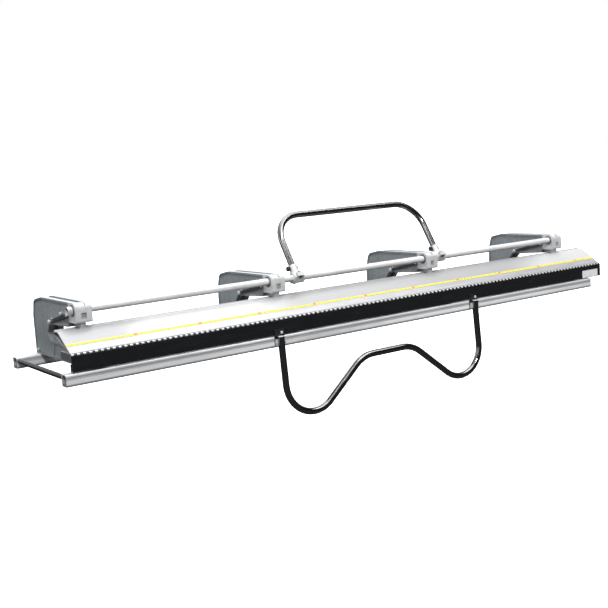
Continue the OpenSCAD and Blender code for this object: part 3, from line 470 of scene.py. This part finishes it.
def make_finishes(colours):
    FINISH.update(
        casting=casting_finish(colours),
        bright_casting=bright_finish(colours),
        rail=rail_finish(colours),
        anvil=anvil_finish(colours),
        black_tube=enamel_finish("black_enamel", colours, 0.09, 2.6),
        # bending handle enamel with a painted highlight on its tube tops
        cut_tube=enamel_finish("black_enamel_top_highlight", colours, 0.09, 2.6, TOP_HIGHLIGHT_HEIGHT),
        crossbar=enamel_finish("crossbar_enamel", colours, 0.30, 1.3),
        apron=enamel_finish("apron_enamel", colours, 0.24, 1.6, pale=4.0),
        strip=steel_finish("polished_strip", (0.46, 0.46, 0.47), 0.30, metal=0.4),
        # the jaw's end faces take painted shade
        jaw=steel_finish("jaw_extrusion", (0.72, 0.72, 0.73), 0.36, end=(0.12, 0.13, 0.14), metal=0.2),
        steel=steel_finish("plated_steel", (0.80, 0.80, 0.81), 0.32, metal=0.4),
        # the rod: painted shade on its underside, and black painted shade on its end faces
        rod=steel_finish("ground_rod", (0.88, 0.88, 0.89), 0.24, True, (0.02, 0.02, 0.02), 0.15),
        dark_steel=dark_finish("dark_steel", (0.022, 0.024, 0.026), 0.42, 0.5),
        brace=dark_finish("brace_steel", (0.055, 0.058, 0.062), 0.36, 0.5),
        knob=dark_finish("knob_plastic", (0.015, 0.015, 0.016), 0.35, 0.0),
        # the bushes get painted shade on their undersides
        bush=steel_finish("bush_steel", (0.16, 0.165, 0.17), 0.38, True),
        tape=tape_finish(colours),
        label=plain_finish("blank_label", (0.93, 0.93, 0.92), (0.82, 0.82, 0.80), 0.35),
        ink=plain_finish("tape_ink", (0.02, 0.02, 0.02), (0.05, 0.05, 0.05), 0.5),
    )


def coat(obj, finish):
    """Gives a new piece one finish."""
    obj.data.materials.clear()
    obj.data.materials.append(FINISH[finish].material)


def carried(node, finish):
    """A CAD node stays as it is and takes a finish."""
    obj = NODES[node]
    if not obj.data.materials:
        obj.data.materials.append(FINISH[finish].material)
    for i in range(len(obj.data.materials)):
        obj.data.materials[i] = FINISH[finish].material


def softened(node, body, finish, edge, angle=math.radians(32), segments=2):
    """Copy of a CAD node: its loose triangles merged, flat faces joined, and edges rounded by a bevel."""
    mesh = NODES[node].data.copy()
    mesh.name = node + "_soft"
    grown = bmesh.new()
    grown.from_mesh(mesh)
    bmesh.ops.remove_doubles(grown, verts=grown.verts, dist=MERGE)
    flat = math.radians(1.0)
    bmesh.ops.dissolve_limit(grown, angle_limit=flat, verts=grown.verts, edges=grown.edges)
    grown.to_mesh(mesh)
    grown.free()
    obj = bpy.data.objects.new(node + "_soft", mesh)
    bpy.context.scene.collection.objects.link(obj)
    mesh.polygons.foreach_set("use_smooth", np.ones(len(mesh.polygons), bool))
    mesh.set_sharp_from_angle(angle=angle)
    bevel = obj.modifiers.new("edge", "BEVEL")
    bevel.width, bevel.segments, bevel.limit_method, bevel.angle_limit = edge, segments, "ANGLE", angle
    bevel.harden_normals = True
    bevel.use_clamp_overlap = True
    coat(obj, finish)
    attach(obj, body)
    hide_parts(node)
    return obj


def surface(name, points, faces, finish, body, smooth=True, sharp=40):
    """A new mesh piece from an array of points and a list of faces."""
    mesh = bpy.data.meshes.new(name)
    mesh.from_pydata(points.reshape(-1, 3).tolist(), [], faces)
    mesh.validate()
    if smooth:
        mesh.polygons.foreach_set("use_smooth", np.ones(len(mesh.polygons), bool))
        mesh.set_sharp_from_angle(angle=math.radians(sharp))
    obj = bpy.data.objects.new(name, mesh)
    bpy.context.scene.collection.objects.link(obj)
    coat(obj, finish)
    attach(obj, body)
    return obj


def grid_faces(rows, columns):
    """Quads of a grid whose columns close on themselves: corner (i, j) is i columns + j."""
    i, j = np.meshgrid(np.arange(rows - 1), np.arange(columns), indexing="ij")
    k = (j + 1) % columns
    quads = np.stack([i * columns + j, i * columns + k, (i + 1) * columns + k, (i + 1) * columns + j], -1)
    return quads.reshape(-1, 4).tolist()


def capped(rows, columns):
    """The same grid with a face over its first and its last row."""
    last = (rows - 1) * columns
    return grid_faces(rows, columns) + [list(range(columns))[::-1], list(range(last, last + columns))]


def joined(pieces):
    """One list of points and one of faces from several such pairs."""
    points, faces, count = [], [], 0
    for own_points, own_faces in pieces:
        faces += [[k + count for k in face] for face in own_faces]
        points.append(own_points)
        count += len(own_points)
    return np.concatenate(points), faces


def placed(points, place):
    return points @ np.array(place.to_3x3()).T + np.array(place.translation)


def rounded_path(corners, bends, gap=0.02):
    """Plane path through corners, and its direction at each point.
    Each corner becomes an arc of its bend radius: its centre plus the spoke to the tangent point turned by t.
    Straight runs get a point every gap."""
    corners = np.asarray(corners, float)
    out, way = [corners[:1]], []
    unit = np.diff(corners, axis=0)
    unit /= np.linalg.norm(unit, axis=1)[:, None]
    way.append(unit[:1])
    for i in range(1, len(corners) - 1):
        a, b, r = unit[i - 1], unit[i], bends[i - 1]
        turn = math.atan2(a[0] * b[1] - a[1] * b[0], a @ b)
        start = corners[i] - a * r * math.tan(abs(turn) / 2)
        centre = start + math.copysign(r, turn) * np.array([-a[1], a[0]])
        t = np.linspace(0, turn, int(abs(math.degrees(turn)) / 5) + 2)
        spin = np.stack([np.cos(t), -np.sin(t), np.sin(t), np.cos(t)], -1).reshape(-1, 2, 2)
        out.append(centre + spin @ (start - centre))
        way.append(spin @ a)
    out, way = np.concatenate([*out, corners[-1:]]), np.concatenate([*way, unit[-1:]])
    run = np.concatenate([[0], np.cumsum(np.linalg.norm(np.diff(out, axis=0), axis=1))])
    more = np.unique(np.concatenate([run, np.arange(gap, run[-1], gap)]).round(5))
    more = more[np.concatenate([[True], np.diff(more) > gap / 8])]
    out = np.stack([np.interp(more, run, out[:, k]) for k in (0, 1)], -1)
    way = np.stack([np.interp(more, run, way[:, k]) for k in (0, 1)], -1)
    return out, way / np.linalg.norm(way, axis=1)[:, None]


def tube_points(path, way, radius, place, sides=40, lip=0.0022):
    """Tube round a plane path: centre + r(cos t across + sin t up), with ends rounded over the length lip."""
    t = np.linspace(0, 2 * np.pi, sides, endpoint=False)
    drop = np.array([0.0, 0.0, 0.3, 1.0])[:, None] * lip
    shrink = radius - lip * np.array([1.6, 1.0, 0.3, 0.0])
    lips = len(drop)
    centres = np.concatenate([path[0] + way[0] * drop, path[1:-1], path[-1] - way[-1] * drop[::-1]])
    radii = np.concatenate([shrink, np.full(len(path) - 2, radius), shrink[::-1]])
    ways = np.concatenate([np.repeat(way[:1], lips, 0), way[1:-1], np.repeat(way[-1:], lips, 0)])
    across = np.stack([-ways[:, 1], ways[:, 0]], -1)
    flat = centres[:, None, :] + radii[:, None, None] * np.cos(t)[None, :, None] * across[:, None, :]
    up = np.broadcast_to(radii[:, None] * np.sin(t)[None, :], flat.shape[:2])
    points = np.concatenate([flat, up[..., None]], -1).reshape(-1, 3)
    return placed(points, place), capped(len(centres), sides)


def solids(node):
    """Boxes of a CAD node's separate solids.
    Each point takes the least label along its edges, until none changes."""
    merged = bmesh.new()
    merged.from_mesh(NODES[node].data)
    bmesh.ops.remove_doubles(merged, verts=merged.verts, dist=MERGE)
    mesh = bpy.data.meshes.new("merged")
    merged.to_mesh(mesh)
    merged.free()
    points, edges = np.empty(3 * len(mesh.vertices)), np.empty(2 * len(mesh.edges), int)
    mesh.vertices.foreach_get("co", points)
    mesh.edges.foreach_get("vertices", edges)
    bpy.data.meshes.remove(mesh)
    points, edges = points.reshape(-1, 3), edges.reshape(-1, 2)
    label = np.arange(len(points))
    while True:
        low = np.minimum(label[edges[:, 0]], label[edges[:, 1]])
        new = label.copy()
        np.minimum.at(new, edges[:, 0], low)
        np.minimum.at(new, edges[:, 1], low)
        if (new == label).all():
            break
        label = new
    groups = [points[label == k] for k in np.unique(label)]
    return [(g.min(0), g.max(0)) for g in groups]


def turned(profile, places, sides, swell):
    """Turned pieces along X, one at each place: a profile point (x, r) makes the ring (x, r cos t, r sin t).
    swell(t, x, r) changes r round the ring."""
    profile = np.asarray(profile, float)
    t = np.linspace(0, 2 * np.pi, sides, endpoint=False)
    r = swell(t[None, :], profile[:, :1], np.repeat(profile[:, 1:2], sides, 1))
    x = np.repeat(profile[:, :1], sides, 1)
    ring = np.stack([x, r * np.cos(t), r * np.sin(t)], -1).reshape(-1, 3)
    return joined([(placed(ring, place), capped(len(profile), sides)) for place in places])


def knob_profile(length, radius):
    """Cross pin from x = 0: a knob with rounded rims, the pin, and a small head at its right end."""
    pin, head, knob_end, head_length = radius * 0.35, radius * 0.58, 0.014, 0.005
    knob = [(0, 0.80), (0.0006, 0.91), (0.0018, 0.98), (0.0028, 1),
            (0.0112, 1), (0.0122, 0.98), (0.0134, 0.91), (knob_end, 0.82)]
    end = [(length - head_length, pin), (length - head_length, head * 0.93), (length - 0.0045, head),
           (length - 0.001, head), (length, head * 0.86)]
    return [(x, q * radius) for x, q in knob] + [(knob_end, pin)] + end


def flutes(t, x, r):
    """Ten finger grooves: r less 1.1 mm times the square of (1 + cos 10t)/2, except on the rims."""
    straight = (x > 0.002) & (x < 0.013)
    return r - straight * 0.0011 * ((1 + np.cos(10 * t)) / 2) ** 2


class BRAKE_OT_finishes(bpy.types.Operator):
    """Makes every finish and lays it on the carried CAD nodes"""
    bl_idname = "brake.finishes"
    bl_label = "Finishes"
    bl_options = {"REGISTER", "UNDO"}

    def execute(self, context):
        make_finishes(context.scene.brake_colours)
        special = {"lock_rod": "rod", "eccentrics": "rod", "hinge_rod": "rod"}
        for node in NODES:
            carried(node, special.get(node, SLOTS[node]))
        return {"FINISHED"}


class BRAKE_OT_castings(bpy.types.Operator):
    """Rounds the edges of the C-frames, clamps, jaw arms and yokes"""
    bl_idname = "brake.castings"
    bl_label = "Castings"
    bl_options = {"REGISTER", "UNDO"}

    def execute(self, context):
        sizes = context.scene.brake_sizes
        for i in (1, 2, 3, 4):
            softened("c_frame_%d" % i, "base", "casting", sizes.casting_edge)
            softened("jaw_arm_%d" % i, "anvil", "bright_casting", sizes.casting_edge)
        softened("yokes", "anvil", "bright_casting", sizes.machined_edge)
        for node in ("clamp_left", "clamp_right", "clamp_caps"):
            softened(node, "lock", "bright_casting", sizes.casting_edge)
        return {"FINISHED"}


class BRAKE_OT_tubes(bpy.types.Operator):
    """Draws the bending handle, the lock handle, the crossbars and the lock rod as tubes and bars"""
    bl_idname = "brake.tubes"
    bl_label = "Tubes"
    bl_options = {"REGISTER", "UNDO"}

    def execute(self, context):
        sizes = context.scene.brake_sizes
        radius, drawn = sizes.tube_radius, sizes.tube_radius - sizes.skin

        low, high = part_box("bending_handle")
        left, right = low.x + radius, high.x - radius
        middle = (left + right) / 2
        half, drop, deep, top = sizes.bend_plateau, sizes.bend_drop, sizes.bend_deep, sizes.bend_top
        corners = [(left, top), (left, -deep), (middle - half, -drop),
                   (middle + half, -drop), (right, -deep), (right, top)]
        bends = [sizes.bend_outer, sizes.bend_inner, sizes.bend_inner, sizes.bend_outer]
        path, way = rounded_path(corners, bends, 0.006)
        place = Matrix.Translation((0, high.y - radius, 0)) @ Matrix.Rotation(math.pi / 2, 4, "X")
        points, faces = tube_points(path, way, drawn, place)
        depth = np.clip(sizes.kick_start - points[:, 2], 0, None)
        run = sizes.kick_run
        points[:, 1] -= math.tan(sizes.kick) * np.where(depth < run, depth ** 2 / (2 * run), depth - run / 2)
        # its enamel has a painted highlight on the tube tops
        obj = surface("bending_handle_tube", points, faces, "cut_tube", "apron")
        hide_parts("bending_handle")

        rod_low, rod_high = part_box("lock_rod")
        axis = Vector((0, (rod_low.y + rod_high.y) / 2, (rod_low.z + rod_high.z) / 2))
        left, right = middle_x("clamp_left"), middle_x("clamp_right")
        foot, reach = sizes.lock_foot, sizes.lock_reach
        corners = [(left, foot), (left, reach), (right, reach), (right, foot)]
        path, way = rounded_path(corners, [sizes.lock_bend] * 2)
        place = Matrix.Translation(axis) @ Matrix.Rotation(sizes.lock_lean, 4, "X")
        points, faces = tube_points(path, way, drawn, place)
        obj = surface("lock_handle_tube", points, faces, "black_tube", "lock")
        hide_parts("lock_handle")

        for side in ("left", "right"):
            low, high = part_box("crossbar_" + side)
            path, way = rounded_path([(0.0, 0.0), (high.y - low.y, 0.0)], [])
            place = Matrix.Translation(((low.x + high.x) / 2, low.y, (low.z + high.z) / 2))
            place = place @ Matrix.Rotation(math.pi / 2, 4, "Z")
            points, faces = tube_points(path, way, (high.x - low.x) / 2, place)
            obj = surface("crossbar_%s_tube" % side, points, faces, "crossbar", "base")
            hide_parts("crossbar_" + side)

        path, way = rounded_path([(rod_low.x, 0.0), (rod_high.x, 0.0)], [])
        place = Matrix.Translation(axis)
        points, faces = tube_points(path, way, (rod_high.z - rod_low.z) / 2, place, 56, 0.0015)
        obj = surface("lock_rod_bar", points, faces, "rod", "lock")
        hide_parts("lock_rod")
        return {"FINISHED"}


class BRAKE_OT_extrusions(bpy.types.Operator):
    """Rounds the edges of the rails, jaw, anvil, apron, straps and strips"""
    bl_idname = "brake.extrusions"
    bl_label = "Extrusions"
    bl_options = {"REGISTER", "UNDO"}

    def execute(self, context):
        for node, body, finish in (
            ("anvil", "anvil", "anvil"), ("nose_strip", "anvil", "strip"), ("apron", "apron", "apron"),
            ("brace_straps", "base", "brace"), ("handle_straps", "apron", "dark_steel"),
            ("handle_clips", "apron", "bright_casting"), ("front_rail", "base", "rail"),
            ("rear_rail", "base", "rail"), ("fixed_jaw", "base", "jaw"),
        ):
            softened(node, body, finish, context.scene.brake_sizes.machined_edge)
        return {"FINISHED"}


class BRAKE_OT_hardware(bpy.types.Operator):
    """Draws hexagon bolts and grooved knobs, and rounds the edges of the other small pieces"""
    bl_idname = "brake.hardware"
    bl_label = "Hardware"
    bl_options = {"REGISTER", "UNDO"}

    def execute(self, context):
        sizes = context.scene.brake_sizes
        for node, body, axis, caps in (
            ("pivot_bolts", "base", 0, (0.008, 0.008)), ("foot_bolts", "base", 0, (0.006, 0.006)),
            ("brace_bolts", "base", 0, (0.006, 0.0)), ("handle_bolts", "apron", 1, (0.0045, 0.0)),
        ):
            points, faces = joined([bolt(low, high, axis, caps) for low, high in solids(node)])
            obj = surface(node + "_turned", points, faces, "steel", body, sharp=30)
            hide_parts(node)
        thin = {"measuring_tape", "face_label"}
        for node, body, finish in (
            ("jaw_screws", "base", "steel"), ("anvil_screws", "anvil", "steel"),
            ("yoke_screws", "anvil", "steel"), ("clamp_bolts", "lock", "dark_steel"),
            ("rod_bushes", "base", "bush"), ("rod_collar", "lock", "bright_casting"),
            ("measuring_tape", "anvil", "tape"), ("face_label", "apron", "label"),
            ("wear_strip", "base", "strip"), ("hinge_leaf", "apron", "apron"),
        ):
            softened(node, body, finish, sizes.small_edge / 4 if node in thin else sizes.small_edge)
        boxes = solids("clamp_knobs")
        low, high = boxes[0]
        places = [Matrix.Translation((a[0], *((a + b) / 2)[1:])) for a, b in boxes]
        points, faces = turned(knob_profile(high[0] - low[0], (high[2] - low[2]) / 2), places, 60, flutes)
        obj = surface("clamp_knobs_turned", points, faces, "knob", "lock", sharp=50)
        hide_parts("clamp_knobs")
        return {"FINISHED"}


def bolt(low, high, axis, caps):
    """Bolt along an axis in a box: hexagon heads of the given heights at its two ends, a round shank between.
    A head's radius is R cos 30 over the cosine of the angle from the nearest flat, and never over R."""
    middle, across = (low + high) / 2, np.delete(high - low, axis).min()
    length, r = high[axis] - low[axis], across / 2
    shank = r * 0.55
    head = [(0, 0.5), (0, 0.8), (0.1, 0.9), (0.25, 1), (1, 1)]
    front = [(c * caps[0], q * r) for c, q in head]
    back = [(length - c * caps[1], q * r) for c, q in head[::-1]]
    body = [(caps[0], shank), (length - caps[1], shank)]
    profile = np.array(front + body + (back if caps[1] else [(length, shank * 0.9)]))
    t = np.arange(HEX_SIDES) * 2 * np.pi / HEX_SIDES
    near = (t + np.pi / 6) % (np.pi / 3) - np.pi / 6
    hexagon = np.minimum(np.cos(np.pi / 6) / np.cos(near), 1.0)
    ring = profile[:, 1:2] * np.where(profile[:, 1:2] > shank * 1.01, hexagon, 1.0)
    out = np.empty((len(profile), len(t), 3))
    u, v = [k for k in (0, 1, 2) if k != axis]
    out[..., axis] = low[axis] + profile[:, :1]
    out[..., u] = middle[u] + ring * np.cos(t)
    out[..., v] = middle[v] + ring * np.sin(t)
    faces = capped(len(profile), len(t))
    if axis == 1:  # X, Z and the axis are left-handed here
        faces = [f[::-1] for f in faces]
    return out.reshape(-1, 3), faces


DIGITS = ("abcdef", "bc", "abged", "abgcd", "fgbc", "afgcd", "afgecd", "abc", "abcdefg", "abcdfg")
# Each stroke of a digit, from one corner of its 1 by 2 grid to another
STROKES = {"a": (0, 2, 1, 2), "b": (1, 1, 1, 2), "c": (1, 0, 1, 1), "d": (0, 0, 1, 0),
           "e": (0, 0, 0, 1), "f": (0, 1, 0, 2), "g": (0, 1, 1, 1)}


class BRAKE_OT_numbers(bpy.types.Operator):
    """Prints the inch numbers on the tape: digits of straight strokes, each stroke a thin block"""
    bl_idname = "brake.numbers"
    bl_label = "Numbers"
    bl_options = {"REGISTER", "UNDO"}

    def execute(self, context):
        low, high = TAPE
        slope = math.atan2(high.z - low.z, high.y - low.y)
        wide, tall, line = NUMBER["wide"], NUMBER["tall"], NUMBER["line"]
        step = wide * 1.5
        strokes = []
        for n in range(1, int(LENGTH / INCH)):
            text = str(n)
            start = -LENGTH / 2 + n * INCH - len(text) * step / 2
            for k, digit in enumerate(text):
                for name in DIGITS[int(digit)]:
                    x0, y0, x1, y1 = STROKES[name]
                    foot = start + k * step
                    strokes.append((foot + x0 * wide, y0 * tall, foot + x1 * wide, y1 * tall))
        ends = np.array(strokes)
        least = np.minimum(ends[:, :2], ends[:, 2:]) - line / 2
        most = np.maximum(ends[:, :2], ends[:, 2:]) + line / 2
        corner = np.array([(i, j, k) for k in (0, 1) for j in (0, 1) for i in (0, 1)])
        flat = np.where(corner[None, :, :2] == 0, least[:, None], most[:, None])
        flat[..., 1] += NUMBER["foot"]
        lift = corner[None, :, 2] * context.scene.brake_sizes.tape_lift + np.zeros(len(ends))[:, None]
        along = np.array([math.cos(slope), math.sin(slope)])
        up = np.array([-math.sin(slope), math.cos(slope)])
        base = np.array([low.y, low.z + TAPE_THICK * math.cos(slope)])
        yz = base + flat[..., 1:2] * along + lift[..., None] * up
        points = np.concatenate([flat[..., :1], yz], -1).reshape(-1, 3)
        box = np.array([(0, 2, 3, 1), (4, 5, 7, 6), (0, 1, 5, 4), (1, 3, 7, 5), (3, 2, 6, 7), (2, 0, 4, 6)])
        faces = (box[None] + len(corner) * np.arange(len(ends))[:, None, None]).reshape(-1, 4).tolist()
        surface("tape_numbers", points, faces, "ink", "anvil", smooth=False)
        return {"FINISHED"}


def mixed_by_camera(nodes, hidden, shown, output):
    """Rays from the camera meet one shader, and all other rays the other one."""
    seen = nodes.node("ShaderNodeLightPath", {}, {}, "Is Camera Ray")
    both = nodes.node("ShaderNodeMixShader", {}, {0: seen, 1: hidden, 2: shown})
    out = next(n for n in nodes.tree.nodes if n.type == output)
    nodes.tree.links.new(both.socket, out.inputs[0])


def make_floor(colour):
    """White floor far below the part, which throws little light back."""
    half, z = FLOOR_HALF, CAD_BOX[0].z - FLOOR_DROP
    mesh = bpy.data.meshes.new("floor")
    corners = [(-half, -half, z), (half, -half, z), (half, half * 1.5, z), (-half, half * 1.5, z)]
    mesh.from_pydata(corners, [], [(0, 1, 2, 3)])
    floor = bpy.data.objects.new("floor", mesh)
    bpy.context.scene.collection.objects.link(floor)
    f = Finish("pale_floor", rgb(colour), 0.9, 0.0, Specular_IOR_Level=0.0)
    f.put("Emission Color", (1, 1, 1, 1))
    f.put("Emission Strength", 0.55)
    bounce = f.node("ShaderNodeBsdfDiffuse", {}, {"Color": (0.04, 0.04, 0.042, 1)})
    mixed_by_camera(f, bounce, Sock(f, f.shader.outputs[0]), "OUTPUT_MATERIAL")
    mesh.materials.append(f.material)


def make_sky():
    """White where it is seen; as light, a low band behind, a patch above and a soft band on the left."""
    world = bpy.data.worlds.new("studio")
    bpy.context.scene.world = world
    world.use_nodes = True
    sky = Nodes(world.node_tree)
    plain = next(n for n in sky.tree.nodes if n.type == "BACKGROUND")
    x, y, z = sky.parts(sky.node("ShaderNodeTexCoord", {}, {}, "Generated"))
    behind = y.ramp(-0.05, 0.45) * z.ramp(0.01, 0.09) * 0.7
    above = z.ramp(0.68, 0.84) * x.ramp(-0.3, 0.1, 0.25, 1.0) * 3.1
    left = x.ramp(-0.35, -0.8) * z.ramp(0.05, 0.25) * z.ramp(0.6, 0.45) * 1.1
    sky.tree.links.new((behind + above + left + 0.03).socket, plain.inputs[1])
    plain.inputs[0].default_value = (0.97, 0.985, 1, 1)
    shown = sky.node("ShaderNodeBackground", {}, {"Color": (1, 1, 1, 1), "Strength": 1.0})
    mixed_by_camera(sky, Sock(sky, plain.outputs[0]), shown, "OUTPUT_WORLD")


def add_lamp(name, light, towards, at=(0, 0, 0)):
    lamp = bpy.data.objects.new(name, light)
    lamp.location = at
    lamp.rotation_euler = Vector(towards).to_track_quat("-Z", "Y").to_euler()
    bpy.context.scene.collection.objects.link(lamp)


def make_lights():
    """A soft sun from the front left, and a long narrow panel above that draws the tubes' highlights."""
    sun = bpy.data.lights.new("sun", "SUN")
    sun.energy, sun.angle = 1.9, math.radians(8)
    add_lamp("sun", sun, (0.35, 0.9, -0.8))
    strip = bpy.data.lights.new("strip", "AREA")
    strip.shape, strip.size, strip.size_y, strip.energy = "RECTANGLE", 5.0, 0.14, 25
    at, aim = Vector((-0.2, -0.9, 2.4)), Vector((-0.2, 0.1, 0.2))
    add_lamp("strip", strip, aim - at, at)


def make_camera():
    """The camera fitted to the photograph: its azimuth, depression and roll give the three axes."""
    az, el, roll = CAMERA_TURN
    forward = np.array([math.sin(az) * math.cos(el), math.cos(az) * math.cos(el), -math.sin(el)])
    right = np.array([math.cos(az), -math.sin(az), 0.0])
    up = np.cross(right, forward)
    across = math.cos(roll) * right + math.sin(roll) * up
    above = -math.sin(roll) * right + math.cos(roll) * up
    cam = bpy.data.cameras.new("photo_camera")
    cam.sensor_width, cam.lens = SENSOR, FOCAL_PIXELS / IMAGE_PIXELS * SENSOR
    cam.clip_start, cam.clip_end = 0.05, 200
    obj = bpy.data.objects.new("photo_camera", cam)
    turn = Matrix([[across[i], above[i], -forward[i]] for i in range(3)]).to_4x4()
    obj.matrix_world = Matrix.Translation(CAMERA_AT) @ turn
    bpy.context.scene.collection.objects.link(obj)
    bpy.context.scene.camera = obj


class BRAKE_OT_stage(bpy.types.Operator):
    """Makes the floor, the light and the camera at the photograph's angle"""
    bl_idname = "brake.stage"
    bl_label = "Stage"
    bl_options = {"REGISTER", "UNDO"}

    def execute(self, context):
        bpy.context.scene.view_settings.view_transform = "Standard"
        make_floor(context.scene.brake_colours.floor)
        make_sky()
        make_lights()
        make_camera()
        return {"FINISHED"}


STEPS = [BRAKE_OT_finishes, BRAKE_OT_castings, BRAKE_OT_tubes, BRAKE_OT_extrusions, BRAKE_OT_hardware,
         BRAKE_OT_numbers, BRAKE_OT_stage]


class BRAKE_PT_panel(bpy.types.Panel):
    """Lists the brake's sizes, colours and operators"""
    bl_label = "Bending brake"
    bl_space_type = "VIEW_3D"
    bl_region_type = "UI"
    bl_category = "Brake"

    def draw(self, context):
        for group in (context.scene.brake_sizes, context.scene.brake_colours):
            for key in group.bl_rna.properties.keys():
                if key not in {"rna_type", "name"}:
                    self.layout.prop(group, key)
        for step in STEPS:
            self.layout.operator(step.bl_idname)


CLASSES = [BrakeSizes, BrakeColours, *STEPS, BRAKE_PT_panel]


def register():
    for cls in CLASSES:
        bpy.utils.register_class(cls)
    bpy.types.Scene.brake_sizes = PointerProperty(type=BrakeSizes)
    bpy.types.Scene.brake_colours = PointerProperty(type=BrakeColours)


def unregister():
    del bpy.types.Scene.brake_sizes
    del bpy.types.Scene.brake_colours
    for cls in reversed(CLASSES):
        bpy.utils.unregister_class(cls)


def main():
    register()
    for step in STEPS:
        group, name = step.bl_idname.split(".")
        getattr(getattr(bpy.ops, group), name)()
    bpy.context.view_layer.update()


if __name__ == "__main__":
    main()
